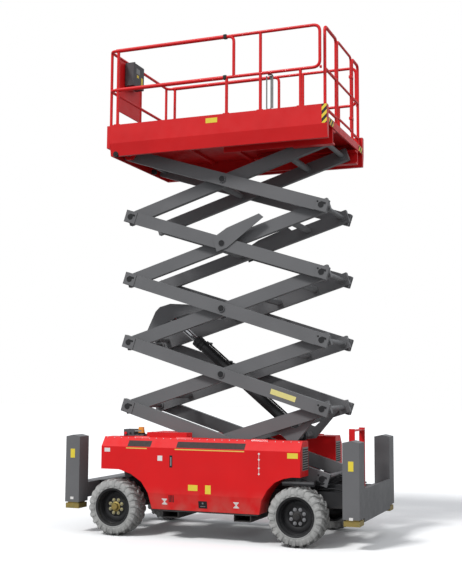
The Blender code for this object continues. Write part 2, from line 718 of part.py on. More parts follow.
def arm_pair(name, inner, adds, cuts, level, origin):
    """Turns the straight pair to its rest angle about its middle and sets its origin."""
    low, high = (INNER_LANE, INNER_OUT) if inner else (OUTER_LANE, OUTER_OUT)
    end = HALF_LENGTH + ARM_END
    bars = both_sides(block, (-end, low, -ARM_HALF_DEPTH), (end, high, ARM_HALF_DEPTH))
    obj = part(name, bars + adds, cuts, PAINT_GREY)
    x, z = middle_place(level)
    angle = REST_ANGLE if inner else -REST_ANGLE
    place = Matrix.Translation((x, 0, z)) @ Matrix.Rotation(angle, 4, "Y")
    local = place.inverted() @ Vector((origin[0], 0, origin[1]))
    obj.data.transform(Matrix.Translation(-local))
    obj.matrix_world = Matrix.Translation((FRAME_SHIFT, 0, 0)) @ place @ Matrix.Translation(local)
    return obj


def arm_end(distance):
    """Local x of a point given as its distance from the arm's front pin."""
    return HALF_LENGTH - distance


def bore_cut(x, radius=PIN_R + PIN_PLAY, z=0.0):
    return cross_rod(x, z, -0.75, 0.75, radius)


INNER_TUBES = {  # level: cross tubes, as distances from the front pin
    1: (0.35, 1.05),
    2: (0.45, 2.15),
    3: (1.75, 2.25),
    4: (1.20, 2.15),
    5: (1.20, 2.15),
}


def lower_bracket():
    """The V plates under the first inner pair, with the tube that carries the cylinder's base."""
    e, n = BASE_PIN
    outline = [(arm_end(1.93), -0.02), (arm_end(e - 0.045), n - 0.045), (arm_end(e + 0.045), n - 0.060),
               (arm_end(2.56), -0.02), (arm_end(2.44), -0.02), (arm_end(e + 0.080), n + 0.080),
               (arm_end(2.06), -0.02)]
    shapes = []
    for side in (1, -1):
        low, high = sorted((side * (INNER_LANE - 0.030), side * (INNER_LANE + 0.008)))
        shapes.append(side_plate(outline, low, high))
    shapes.append(cross_rod(arm_end(e), n, -INNER_LANE + 0.01, INNER_LANE - 0.01, SPINDLE_R))
    return shapes


def upper_bracket():
    """The arched ears over the third inner pair that hold the cylinder's rod eye."""
    outline = [(0.060, -0.020), (0.060, 0.120), (0.270, 0.345), (0.345, 0.383), (0.500, 0.375),
               (0.720, 0.290), (1.200, 0.035), (1.200, -0.045), (1.080, -0.045), (0.900, 0.105),
               (0.700, 0.175), (0.500, 0.180), (0.300, 0.150), (0.190, 0.080), (0.140, -0.020)]
    local = [(arm_end(e), n) for e, n in outline]
    shapes = []
    for side in (1, -1):
        low, high = sorted((side * (EAR_IN + EAR_T), side * EAR_IN))
        shapes.append(side_plate(local, low, high))
        low, high = sorted((side * (EAR_IN + EAR_T / 2), side * (INNER_LANE + 0.005)))
        shapes.append(cross_rod(arm_end(1.140), 0.0, low, high, 0.032))
    shapes.append(cross_rod(arm_end(0.110), 0.030, -INNER_LANE - 0.005, INNER_LANE + 0.005, 0.032))
    return shapes


def inner_pair(level):
    adds = []
    for distance in INNER_TUBES[level]:
        adds.append(cross_rod(arm_end(distance), 0.0, -INNER_LANE - 0.008, INNER_LANE + 0.008, TUBE_R))
    for side in (1, -1):
        adds.append(cross_rod(0, 0, side * (INNER_OUT - 0.02), side * (HEAD_OUT - 0.001), PIN_R))
        adds.append(cross_rod(0, 0, side * (OUTER_OUT + 0.002), side * HEAD_OUT, HEAD_R))
    cuts = [bore_cut(HALF_LENGTH)]
    if level == 1:
        adds += lower_bracket()
    if level == 3:
        adds += upper_bracket()
    if level == 4:
        keeper = [
            (0.09, -0.078), (0.09, 0.100), (-0.12, 0.155), (-0.56, 0.175), (-0.60, 0.115), (-0.05, -0.078)]
        for side in (1, -1):
            low, high = sorted((side * (OUTER_OUT + 0.0035), side * (HEAD_OUT - 0.0025)))
            adds.append(side_plate(keeper, low, high))
    if level < LEVELS:
        cuts.append(bore_cut(-HALF_LENGTH))
    else:
        adds.append(cross_rod(-HALF_LENGTH, 0, -OUTER_LANE - 0.03, OUTER_LANE + 0.03, PIN_R))
        for side in (1, -1):
            adds.append(cross_rod(
                -HALF_LENGTH, 0, side * (OUTER_LANE + 0.003), side * (OUTER_OUT + 0.012), ROLLER_R))
    origin = {1: joint_place(0, True), 2: middle_place(2), 3: joint_place(2, True),
              4: middle_place(4), 5: joint_place(4, True)}[level]
    return arm_pair(f"inner_arms_{level}", True, adds, cuts, level, origin)


def outer_pair(level):
    cuts = [bore_cut(0.0)]
    reach = OUTER_OUT + 0.010 if level < LEVELS else EAR_OUT_Y + 0.010
    adds = [
        cross_rod(HALF_LENGTH, 0, -reach, reach, PIN_R),
        cross_rod(-HALF_LENGTH, 0, -OUTER_OUT - 0.010, OUTER_OUT + 0.010, PIN_R),
    ]
    if level == 1:
        for side in (1, -1):
            adds.append(cross_rod(-HALF_LENGTH, 0, side * TRACK_IN, side * (TRACK_OUT - 0.005), ROLLER_R))
    origin = {1: middle_place(1), 2: joint_place(1, False), 3: middle_place(3),
              4: joint_place(3, False), 5: middle_place(5)}[level]
    return arm_pair(f"outer_arms_{level}", False, adds, cuts, level, origin)


# ---- lift cylinder

def on_inner_arm(level, place):
    """World (x, z) of a point given along and over an inner pair's line."""
    e, n = place
    x0, z0 = joint_place(level - 1, True)
    return (x0 - e * math.cos(REST_ANGLE) + n * math.sin(REST_ANGLE),
            z0 + e * math.sin(REST_ANGLE) + n * math.cos(REST_ANGLE))


def cylinder_parts():
    base = Vector((on_inner_arm(1, BASE_PIN)[0], 0, on_inner_arm(1, BASE_PIN)[1]))
    tip = Vector((on_inner_arm(3, ROD_PIN)[0], 0, on_inner_arm(3, ROD_PIN)[1]))
    along = (tip - base).normalized()

    def at(distance):
        return base + along * distance

    length = (tip - base).length
    half = EYE_HALF - 0.0005
    adds = [
        cross_rod(base.x, base.z, -half, half, EYE_R),
        rod(at(0.055), at(BARREL_LENGTH), BARREL_R),
        rod(at(BARREL_LENGTH - 0.07), at(BARREL_LENGTH), GLAND_R),
    ]
    cuts = [
        cross_rod(base.x, base.z, -0.1, 0.1, SPINDLE_R + PIN_PLAY),
        rod(at(BARREL_FLOOR), at(BARREL_LENGTH - GLAND_LENGTH), BARREL_BORE),
        rod(at(BARREL_LENGTH - GLAND_LENGTH - 0.01), at(BARREL_LENGTH + 0.1), ROD_R + 0.0006),
    ]
    barrel = part("cylinder_barrel", adds, cuts, PAINT_DARK, base)
    start = length - ROD_LENGTH
    shapes = [
        rod(at(start), at(length - 0.045), ROD_R),
        rod(at(start), at(start + PISTON_LENGTH), BARREL_BORE - 0.0006),
        cross_rod(tip.x, tip.z, -EAR_IN + 0.0005, EAR_IN - 0.0005, ROD_EYE_R),
    ]
    piston = part("cylinder_rod", shapes, (), FINISH_STEEL, tip)
    return barrel, piston


# ---- platform

EAR_IN_Y = 0.5725
EAR_OUT_Y = 0.600


STRIP_TOP = FLOOR_TOP + 0.003       # raised strip under the rear posts
STRIP_FRONT = DECK_REAR + 0.085
JOISTS = (-1.20, -0.60, 0.0, 0.55)  # x of each one
JOIST_HALF = 0.030
FLOOR_EDGE = DECK_IN + 0.01         # the floor sheet runs into the side sills
TRACK_FRONT = -0.150                # channel that the top outer arms roll in
LIP_FRONT = -1.020                  # its lower lip
PIVOT_EAR = ((-0.09, 0.00), (-0.04, -0.07), (0.04, -0.07), (0.09, 0.00))


def main_deck():
    floor_low = FLOOR_TOP - FLOOR_SHEET
    adds = [block((DECK_REAR, -FLOOR_EDGE, floor_low), (DECK_FRONT, FLOOR_EDGE, FLOOR_TOP))]
    adds.append(block((DECK_REAR, -FLOOR_EDGE, floor_low), (STRIP_FRONT, FLOOR_EDGE, STRIP_TOP)))
    sill = [(DECK_IN, floor_low), (DECK_IN, SILL_BOTTOM), (DECK_OUT - 0.030, SILL_BOTTOM),
            (DECK_OUT, FLOOR_TOP - 0.095), (DECK_OUT, TOE_TOP), (DECK_IN, TOE_TOP)]
    adds.append(long_profile(sill, DECK_REAR, DECK_FRONT))
    adds.append(long_profile([(-y, z) for y, z in sill], DECK_REAR, DECK_FRONT))
    joist_low = floor_low - JOIST_HEIGHT
    for x in JOISTS:
        adds.append(block(
            (x - JOIST_HALF, -FLOOR_EDGE, joist_low), (x + JOIST_HALF, FLOOR_EDGE, floor_low + 0.005)))
    adds.append(block(
        (DECK_REAR, -FLOOR_EDGE, FLOOR_TOP - 0.085), (DECK_REAR + 0.020, FLOOR_EDGE, FLOOR_TOP)))
    adds.append(block(
        (DECK_FRONT - 0.014, -FLOOR_EDGE, SILL_BOTTOM), (DECK_FRONT, FLOOR_EDGE, FLOOR_TOP)))
    pivot = PLATFORM_PIVOT_Z
    roof = pivot + ROLLER_R + GAP
    track_low = pivot - ROLLER_R - 0.020
    for side in (1, -1):
        low_y, high_y = sorted((side * EAR_IN_Y, side * EAR_OUT_Y))
        ear = [(PIVOT_X + x, pivot + z) for x, z in PIVOT_EAR]
        top = [(PIVOT_X + 0.09, floor_low + 0.005), (PIVOT_X - 0.09, floor_low + 0.005)]
        adds.append(side_plate(ear + top, low_y, high_y))
        low_y, high_y = sorted((side * OUTER_LANE, side * EAR_OUT_Y))
        adds.append(block((DECK_REAR + 0.01, low_y, roof), (TRACK_FRONT, high_y, roof + 0.020)))
        low_y, high_y = sorted((side * (EAR_OUT_Y - 0.020), side * EAR_OUT_Y))
        adds.append(block((DECK_REAR + 0.01, low_y, track_low), (TRACK_FRONT, high_y, floor_low + 0.005)))
        low_y, high_y = sorted((side * (OUTER_LANE + 0.025), side * EAR_OUT_Y))
        adds.append(block(
            (DECK_REAR + 0.01, low_y, track_low), (LIP_FRONT, high_y, pivot - ROLLER_R - 0.001)))
    cuts = [cross_rod(PIVOT_X, pivot, -0.75, 0.75, PIN_R + PIN_PLAY)]
    return part("main_deck", adds, cuts, PAINT_RED, (PIVOT_X, 0, PLATFORM_PIVOT_Z))


POST_FOOT = TOE_TOP + GAP
LOOP_REAR = -1.440
LOOP_FRONT = -0.370
SLEEVE_REAR = -0.260
SLEEVE_FRONT = 1.215
MAIN_POST_X = 1.185
LOOP_BEND = 0.090


def guardrail(side_name, side):
    """The fixed side rail: a loop of small tube at the rear, and two sleeves at the front."""
    y = RAIL_Y
    bend = LOOP_BEND
    loop = [(LOOP_REAR, y, RAIL_MID_Z), (LOOP_REAR, y, RAIL_TOP_Z), (LOOP_FRONT - bend, y, RAIL_TOP_Z),
            (LOOP_FRONT - bend * 0.3, y, RAIL_TOP_Z - bend * 0.3), (LOOP_FRONT, y, RAIL_TOP_Z - bend),
            (LOOP_FRONT, y, RAIL_MID_Z)]
    adds = [bent_tube(loop, RAIL_R, closed=True)]
    for x in (LOOP_REAR, -0.710):
        adds.append(rod((x, y, POST_FOOT), (x, y, RAIL_MID_Z), RAIL_R, TUBE_SIDES))
        adds.append(block((x - 0.045, y - 0.027, POST_FOOT), (x + 0.045, y + 0.027, POST_FOOT + 0.010)))
    cuts = []
    for z in (RAIL_TOP_Z, RAIL_MID_Z):
        adds.append(rod((SLEEVE_REAR, y, z), (SLEEVE_FRONT, y, z), SLEEVE_R))
        cuts.append(rod((SLEEVE_REAR + 0.030, y, z), (SLEEVE_FRONT + 0.05, y, z), SLEEVE_BORE))
    for z in (RAIL_TOP_Z - 0.120, RAIL_MID_Z):
        adds.append(rod((LOOP_FRONT, y, z), (SLEEVE_REAR + 0.010, y, z), 0.017, TUBE_SIDES))
    adds.append(rod(
        (SLEEVE_REAR + 0.012, y, RAIL_MID_Z), (SLEEVE_REAR + 0.012, y, RAIL_TOP_Z), 0.015, TUBE_SIDES))
    for low_z, high_z in ((POST_FOOT, RAIL_MID_Z - 0.022), (RAIL_MID_Z + 0.022, RAIL_TOP_Z - 0.022)):
        adds.append(rod((MAIN_POST_X, y, low_z), (MAIN_POST_X, y, high_z), RAIL_R, TUBE_SIDES))
    adds.append(block(
        (MAIN_POST_X - 0.045, y - 0.027, POST_FOOT), (MAIN_POST_X + 0.045, y + 0.027, POST_FOOT + 0.010)))
    return part(f"{side_name}_guardrail", adds, cuts, PAINT_RED, mirrored=side < 0)


GATE_LEFT = 0.235
GATE_RIGHT = -0.415
REAR_RAIL_X = -1.480
GATE_POST_R = 0.016
GATE_PLAY = 0.0009


def rear_guardrail(name, low_y, high_y, hinged=False):
    """A fixed stretch of the rear rail beside the gate. The hinged one holds the gate's post in two lugs."""
    foot = STRIP_TOP + GAP
    adds = []
    cuts = []
    if hinged:
        for z in (FLOOR_TOP + 0.300, RAIL_MID_Z + 0.250):
            adds.append(block(
                (REAR_RAIL_X - 0.026, high_y, z - 0.020),
                (REAR_RAIL_X + 0.026, GATE_RIGHT + 0.026, z + 0.020)))
        cuts.append(rod(
            (REAR_RAIL_X, GATE_RIGHT, foot), (REAR_RAIL_X, GATE_RIGHT, RAIL_TOP_Z), GATE_POST_R + GATE_PLAY))
    for y in (low_y, high_y):
        adds.append(rod((REAR_RAIL_X, y, foot), (REAR_RAIL_X, y, RAIL_TOP_Z), RAIL_R, TUBE_SIDES))
    for z in (RAIL_TOP_Z - 0.001, RAIL_MID_Z, FLOOR_TOP + 0.120):
        adds.append(cross_rod(REAR_RAIL_X, z, low_y, high_y, RAIL_R - 0.001, TUBE_SIDES))
    return part(name, adds, cuts, PAINT_RED)


def entry_gate():
    low_y, high_y = GATE_RIGHT, GATE_LEFT
    adds = []
    for y in (low_y, high_y):
        adds.append(rod(
            (REAR_RAIL_X, y, FLOOR_TOP + 0.120), (REAR_RAIL_X, y, RAIL_TOP_Z), GATE_POST_R, TUBE_SIDES))
    for z in (RAIL_TOP_Z - 0.001, RAIL_MID_Z, FLOOR_TOP + 0.140):
        adds.append(cross_rod(REAR_RAIL_X, z, low_y, high_y, 0.015, TUBE_SIDES))
    return part("entry_gate", adds, (), PAINT_RED, (REAR_RAIL_X, low_y, RAIL_MID_Z))


SKID = 0.005


def extension_deck():
    low = FLOOR_TOP + SKID
    top = low + 0.020
    half = EXTENSION_HALF
    adds = [block((EXTENSION_REAR, -half, low), (EXTENSION_FRONT, half, top))]
    for side in (1, -1):
        y = sorted((side * (half - 0.012), side * half))
        adds.append(block((EXTENSION_REAR, y[0], low), (EXTENSION_FRONT, y[1], top + 0.090)))
        y = sorted((side * 0.50, side * 0.56))
        adds.append(block((EXTENSION_REAR, y[0], FLOOR_TOP + GAP), (1.200, y[1], low + 0.002)))
    adds.append(block(
        (DECK_FRONT + CLEAR, -DECK_OUT + 0.01, FLOOR_TOP - 0.150),
        (EXTENSION_FRONT, DECK_OUT - 0.01, TOE_TOP - 0.005)))
    return part("extension_deck", adds, (), PAINT_RED)


EXTENSION_POST_X = 1.299
EXTENSION_RAIL_REAR = -0.200


def extension_guardrail():
    adds = []
    y = RAIL_Y
    foot = TOE_TOP - 0.005 + GAP
    for z in (RAIL_TOP_Z, RAIL_MID_Z):
        rail = [(EXTENSION_RAIL_REAR, y, z), (EXTENSION_POST_X, y, z), (EXTENSION_POST_X, -y, z),
                (EXTENSION_RAIL_REAR, -y, z)]
        adds.append(bent_tube(rail, RAIL_R))
    for post_y in (y, 0.0, -y):
        adds.append(rod(
            (EXTENSION_POST_X, post_y, foot), (EXTENSION_POST_X, post_y, RAIL_TOP_Z),
            RAIL_R - 0.001, TUBE_SIDES))
    adds.append(block(
        (EXTENSION_POST_X - 0.006, 0.0, RAIL_MID_Z - 0.20), (EXTENSION_POST_X + 0.006, 0.600, RAIL_TOP_Z)))
    return part("extension_guardrail", adds, (), PAINT_RED)


def platform_control_box():
    back = EXTENSION_POST_X - RAIL_R - 0.001 - 0.003
    adds = [block((back - 0.115, 0.180, RAIL_TOP_Z - 0.330), (back, 0.480, RAIL_TOP_Z - 0.030)),
            block(
                (back - 0.002, 0.200, RAIL_TOP_Z - 0.300),
                (EXTENSION_POST_X - 0.006 - GAP, 0.460, RAIL_TOP_Z - 0.060))]
    return part("platform_control_box", adds, (), PAINT_DARK)


def build():
    chassis_frame()
    engine_block()
    valve_block()
    front_axle()
    rear_axle()
    tie_rod()
    for side_name, side in SIDES:
        knuckle(side_name, side)
        enclosure(side_name, side)
        cover(side_name, side)
        fender_bar(side_name, side)
        guardrail(side_name, side)
    for name, x, side in WHEELS:
        tyre(name, x, side)
        rim(name, x, side)
    ladder()
    ground_control_box()
    beacon()
    for row in OUTRIGGERS:
        outrigger_frame(*row)
        for side_name, side in SIDES:
            outrigger_leg(row[0], side_name, side, *row[1:])
    for level in range(1, LEVELS + 1):
        inner_pair(level)
        outer_pair(level)
    cylinder_parts()
    main_deck()
    rear_guardrail("rear_guardrail_left", GATE_LEFT + 0.060, DECK_IN - 0.025)
    rear_guardrail("rear_guardrail_right", -DECK_IN + 0.025, GATE_RIGHT - 0.060, hinged=True)
    entry_gate()
    extension_deck()
    extension_guardrail()
    platform_control_box()


clear_scene()
PARTS = make_collection("scissor_lift")
TOOLS = make_collection("tools")
build()
bpy.data.collections.remove(TOOLS)
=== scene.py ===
"""Looks for the scissor lift: materials, detail pieces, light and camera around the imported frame.

Frame: metres, +X to the machine's front, +Y to its left, +Z up.
"""

import json
import math

import bmesh
import bpy
from mathutils import Matrix, Vector

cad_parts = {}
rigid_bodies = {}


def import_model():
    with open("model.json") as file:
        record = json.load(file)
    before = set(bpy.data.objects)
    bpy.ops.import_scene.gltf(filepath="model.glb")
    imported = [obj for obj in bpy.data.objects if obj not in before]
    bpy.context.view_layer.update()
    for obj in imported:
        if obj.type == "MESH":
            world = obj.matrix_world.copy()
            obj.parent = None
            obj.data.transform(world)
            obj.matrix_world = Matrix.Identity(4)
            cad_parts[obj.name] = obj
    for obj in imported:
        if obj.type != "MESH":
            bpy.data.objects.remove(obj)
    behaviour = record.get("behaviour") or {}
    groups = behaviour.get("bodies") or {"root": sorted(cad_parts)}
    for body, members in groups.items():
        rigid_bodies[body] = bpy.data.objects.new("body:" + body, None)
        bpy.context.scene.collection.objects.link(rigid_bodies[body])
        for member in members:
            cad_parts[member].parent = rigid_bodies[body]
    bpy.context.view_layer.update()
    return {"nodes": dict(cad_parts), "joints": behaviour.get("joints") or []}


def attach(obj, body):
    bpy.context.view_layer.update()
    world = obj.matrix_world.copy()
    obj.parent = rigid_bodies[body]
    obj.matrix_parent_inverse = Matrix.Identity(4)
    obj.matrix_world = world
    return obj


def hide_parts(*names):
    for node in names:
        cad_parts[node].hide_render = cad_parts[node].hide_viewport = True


for old in list(bpy.data.objects):
    bpy.data.objects.remove(old, do_unlink=True)
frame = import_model()
NODES = frame["nodes"]
JOINTS = {joint["name"]: joint for joint in frame["joints"]}
SIDES = (("left", 1), ("right", -1))
WHEELS = ("front_left", "front_right", "rear_left", "rear_right")

# ---- camera: the photograph's viewing angle

CAMERA_PLACE = Vector((-4.4886, 11.4634, 1.8010))
CAMERA_HEADING = math.radians(21.4881)
CAMERA_PITCH = math.radians(5.7428)
CAMERA_ROLL = math.radians(0.3242)
CAMERA_LENS = 61.535    # mm, on a 36 mm long side


def make_camera():
    look = Vector((
        math.sin(CAMERA_HEADING) * math.cos(CAMERA_PITCH),
        -math.cos(CAMERA_HEADING) * math.cos(CAMERA_PITCH), math.sin(CAMERA_PITCH)))
    right = Vector((-math.cos(CAMERA_HEADING), -math.sin(CAMERA_HEADING), 0))
    up = right.cross(look)
    rolled_right = right * math.cos(CAMERA_ROLL) + up * math.sin(CAMERA_ROLL)
    rolled_up = up * math.cos(CAMERA_ROLL) - right * math.sin(CAMERA_ROLL)
    data = bpy.data.cameras.new("camera")
    data.lens = CAMERA_LENS
    data.sensor_width = 36.0
    data.clip_end = 200
    camera = bpy.data.objects.new("camera", data)
    bpy.context.scene.collection.objects.link(camera)
    turn = Matrix((rolled_right, rolled_up, -look)).transposed().to_4x4()
    camera.matrix_world = Matrix.Translation(CAMERA_PLACE) @ turn
    bpy.context.scene.camera = camera


make_camera()


# ---- materials

class Shader:
    """A Principled material with a few helpers for its procedural detail."""

    def __init__(self, name, color, roughness, metallic=0.0, coat=0.0):
        self.material = bpy.data.materials.new(name)
        self.material.use_nodes = True
        self.tree = self.material.node_tree
        self.main = self.tree.nodes["Principled BSDF"]
        self.main.inputs["Base Color"].default_value = (*color, 1)
        self.main.inputs["Roughness"].default_value = roughness
        self.main.inputs["Metallic"].default_value = metallic
        self.main.inputs["Coat Weight"].default_value = coat
        self.main.inputs["Coat Roughness"].default_value = 0.08
        self.main.inputs["Specular IOR Level"].default_value = 0.5 if metallic else 0.28
        self.place = self.add("ShaderNodeTexCoord").outputs["Object"]
        self.height = None
        self.color = None

    def add(self, kind, **inputs):
        node = self.tree.nodes.new(kind)
        for key, value in inputs.items():
            node.inputs[key.replace("_", " ")].default_value = value
        return node

    def link(self, start, end):
        self.tree.links.new(start, end)

    def noise(self, scale, detail=4.0, stretch=None):
        node = self.add("ShaderNodeTexNoise", Scale=scale, Detail=detail)
        source = self.place
        if stretch:
            mapping = self.add("ShaderNodeMapping")
            mapping.inputs["Scale"].default_value = stretch
            self.link(source, mapping.inputs["Vector"])
            source = mapping.outputs["Vector"]
        self.link(source, node.inputs["Vector"])
        return node.outputs["Fac"]

    def ramp(self, value, low, high, from_value=0.0, to_value=1.0):
        node = self.add("ShaderNodeMapRange")
        node.inputs["From Min"].default_value = low
        node.inputs["From Max"].default_value = high
        node.inputs["To Min"].default_value = from_value
        node.inputs["To Max"].default_value = to_value
        self.link(value, node.inputs["Value"])
        return node.outputs["Result"]

    def mix(self, factor, first, second):
        node = self.add("ShaderNodeMix")
        node.data_type = "RGBA"
        self.link(factor, node.inputs["Factor"])
        for socket, value in ((node.inputs["A"], first), (node.inputs["B"], second)):
            if isinstance(value, tuple):
                socket.default_value = (*value, 1)
            else:
                self.link(value, socket)
        return node.outputs["Result"]

    def paint_over(self, factor, color):
        """Lays a colour over what is there, by the factor."""
        base = self.color or tuple(self.main.inputs["Base Color"].default_value)[:3]
        self.color = self.mix(factor, base, color)
        self.link(self.color, self.main.inputs["Base Color"])
        return self

    def vary_roughness(self, scale, low, high):
        self.link(self.ramp(self.noise(scale), 0.3, 0.7, low, high), self.main.inputs["Roughness"])
        return self

    def bump(self, height, strength, distance):
        node = self.add("ShaderNodeBump", Strength=strength, Distance=distance)
        self.link(height, node.inputs["Height"])
        if self.height:
            self.link(self.height, node.inputs["Normal"])
        self.height = node.outputs["Normal"]
        self.link(self.height, self.main.inputs["Normal"])
        return self

    def dust(self, color, low_z, high_z, most):
        """Dust that thins out upwards, broken up by noise."""
        split = self.add("ShaderNodeSeparateXYZ")
        self.link(self.add("ShaderNodeNewGeometry").outputs["Position"], split.inputs["Vector"])
        fade = self.ramp(split.outputs["Z"], low_z, high_z, most, 0.0)
        broken = self.ramp(self.noise(6.0), 0.35, 0.65)
        product = self.add("ShaderNodeMath")
        product.operation = "MULTIPLY"
        self.link(fade, product.inputs[0])
        self.link(broken, product.inputs[1])
        return self.paint_over(product.outputs["Value"], color)


def painted(name, color, roughness, coat, darker, specks=0.0):
    made = Shader(name, color, roughness, 0.0, coat)
    made.paint_over(made.ramp(made.noise(2.2), 0.35, 0.70, 0.0, 0.55), darker)
    if specks:
        made.paint_over(made.ramp(made.noise(55.0, 8.0), 0.70, 0.76, 0.0, specks), (0.30, 0.29, 0.28))
    made.vary_roughness(9.0, roughness - 0.06, roughness + 0.10)
    made.bump(made.noise(420.0, 2.0), 0.12, 0.0006)
    return made


def flat(name, color, roughness, metallic=0.0):
    made = Shader(name, color, roughness, metallic)
    made.paint_over(made.ramp(made.noise(14.0), 0.4, 0.8, 0.0, 0.3), tuple(value * 0.75 for value in color))
    made.vary_roughness(30.0, roughness - 0.04, roughness + 0.08)
    return made


RED = painted("red_paint", (0.72, 0.010, 0.012), 0.36, 0.06, (0.60, 0.007, 0.009))
RED.dust((0.36, 0.25, 0.20), 0.30, 0.62, 0.35)
GREY = painted("grey_paint", (0.150, 0.150, 0.154), 0.44, 0.06, (0.120, 0.120, 0.124), 0.20)
BLACK = painted("frame_black", (0.028, 0.028, 0.030), 0.50, 0.05, (0.018, 0.018, 0.019), 0.25)
BLACK.dust((0.16, 0.14, 0.12), 0.20, 0.55, 0.45)
RIM = painted("rim_paint", (0.022, 0.022, 0.023), 0.36, 0.10, (0.015, 0.015, 0.016), 0.15)
TYRE = Shader("tyre_rubber", (0.36, 0.36, 0.35), 0.86)
TYRE.paint_over(TYRE.ramp(TYRE.noise(9.0, 8.0), 0.38, 0.68, 0.0, 0.7), (0.25, 0.25, 0.245))
TYRE.paint_over(TYRE.ramp(TYRE.noise(60.0, 6.0), 0.55, 0.75, 0.0, 0.5), (0.46, 0.455, 0.44))
TYRE.vary_roughness(20.0, 0.78, 0.95)
TYRE.bump(TYRE.noise(180.0, 6.0), 0.35, 0.0015)
GOLD = flat("zinc_gold", (0.52, 0.39, 0.13), 0.34, 0.85)
GOLD.paint_over(GOLD.ramp(GOLD.noise(24.0), 0.5, 0.7, 0.0, 0.6), (0.36, 0.36, 0.16))
PALE_GOLD = flat("pale_gold", (0.62, 0.57, 0.36), 0.30, 0.8)
STEEL = flat("bright_steel", (0.46, 0.46, 0.47), 0.34, 0.95)
CHROME = flat("rod_chrome", (0.70, 0.70, 0.71), 0.14, 1.0)
ENGINE = flat("engine_iron", (0.075, 0.075, 0.08), 0.62, 0.2)
ENGINE.bump(ENGINE.noise(60.0, 8.0), 0.5, 0.002)
BOX = flat("box_grey", (0.085, 0.085, 0.09), 0.55)
BOX.bump(BOX.noise(300.0, 3.0), 0.2, 0.0005)
RUBBER = flat("black_rubber", (0.016, 0.016, 0.017), 0.62)
RUBBER.bump(RUBBER.noise(200.0, 3.0), 0.2, 0.0006)
YELLOW = flat("yellow_label", (0.78, 0.62, 0.06), 0.42)
PALE_YELLOW = flat("pale_yellow_label", (0.75, 0.68, 0.26), 0.42)
WHITE = flat("white_label", (0.74, 0.72, 0.70), 0.45)
DARK_BAND = flat("dark_band", (0.035, 0.022, 0.020), 0.32)
LINE_GOLD = flat("gold_line", (0.80, 0.55, 0.12), 0.40)
STRAP = flat("screen_grey", (0.22, 0.23, 0.22), 0.28)
AMBER = Shader("amber_lens", (0.86, 0.30, 0.02), 0.16)
AMBER.main.inputs["Coat Weight"].default_value = 0.5
AMBER.bump(AMBER.noise(160.0, 1.0), 0.25, 0.001)

DECK = painted("deck_red", (0.68, 0.012, 0.014), 0.38, 0.06, (0.55, 0.008, 0.010), 0.05)


def hazard_material():
    """Slanted black bars on yellow."""
    made = Shader("hazard_bars", (0.80, 0.60, 0.05), 0.45)
    split = made.add("ShaderNodeSeparateXYZ")
    made.link(made.place, split.inputs["Vector"])
    total = made.add("ShaderNodeMath")
    total.operation = "ADD"
    made.link(split.outputs["X"], total.inputs[0])
    made.link(split.outputs["Z"], total.inputs[1])
    across = made.add("ShaderNodeMath")
    across.operation = "ADD"
    made.link(total.outputs["Value"], across.inputs[0])
    made.link(split.outputs["Y"], across.inputs[1])
    wave = made.add("ShaderNodeMath")
    wave.operation = "PINGPONG"
    wave.inputs[1].default_value = 0.045
    made.link(across.outputs["Value"], wave.inputs[0])
    made.paint_over(made.ramp(wave.outputs["Value"], 0.0220, 0.0230), (0.02, 0.02, 0.02))
    return made


HAZARD = hazard_material()


def tread_material():
    """Painted sheet with raised bars, for the deck's floor."""
    made = painted("floor_plate", (0.115, 0.115, 0.12), 0.50, 0.0, (0.08, 0.08, 0.085), 0.5)
    bars = made.add("ShaderNodeTexVoronoi", Scale=38.0)
    mapping = made.add("ShaderNodeMapping")
    mapping.inputs["Scale"].default_value = (1.0, 2.2, 1.0)
    mapping.inputs["Rotation"].default_value = (0, 0, math.radians(45))
    made.link(made.place, mapping.inputs["Vector"])
    made.link(mapping.outputs["Vector"], bars.inputs["Vector"])
    made.bump(made.ramp(bars.outputs["Distance"], 0.25, 0.12), 0.5, 0.003)
    return made


FLOOR_PLATE = tread_material()

CAD_LOOKS = (  # material, parts of the node names that it covers
    (GOLD, ("outrigger_leg",)),
    (BLACK, ("chassis_frame", "axle", "knuckle", "tie_rod", "fender_bar", "cylinder_barrel")),
    (ENGINE, ("engine_block", "valve_block")),
    (RED, ("enclosure", "cover", "ladder", "guardrail", "gate")),
    (DECK, ("main_deck", "extension_deck")),
    (GREY, ("arms", "outrigger_frame")),
    (TYRE, ("tyre",)),
    (RIM, ("rim",)),
    (CHROME, ("cylinder_rod",)),
    (BOX, ("ground_control_box", "platform_control_box")),
    (AMBER, ("beacon",)),
)


def dress_cad_nodes():
    for name, node in NODES.items():
        look = next(look for look, words in CAD_LOOKS if any(word in name for word in words))
        node.data.materials.clear()
        node.data.materials.append(look.material)
        node.data.polygons.foreach_set("material_index", [0] * len(node.data.polygons))


dress_cad_nodes()


# ---- shapes: each adds to a bmesh that a piece is gathered in

MERGE = 0.00002     # points closer than this are one

def new_bm():
    return bmesh.new()


def add_box(bm, low, high, bevel=0.0):
    size = [b - a for a, b in zip(low, high)]
    middle = [(a + b) / 2 for a, b in zip(low, high)]
    place = Matrix.Translation(middle) @ Matrix.Diagonal((*size, 1))
    made = bmesh.ops.create_cube(bm, size=1.0, matrix=place)
    if bevel:
        edges = list({edge for vert in made["verts"] for edge in vert.link_edges})
        bmesh.ops.bevel(bm, geom=edges, offset=bevel, segments=2, affect="EDGES")


def add_rod(bm, start, end, radius, sides=20, end_radius=None):
    start, end = Vector(start), Vector(end)
    turn = (end - start).to_track_quat("Z", "Y").to_matrix().to_4x4()
    bmesh.ops.create_cone(
        bm, cap_ends=True, segments=sides, radius1=radius,
        radius2=radius if end_radius is None else end_radius,
        depth=(end - start).length, matrix=Matrix.Translation((start + end) / 2) @ turn)


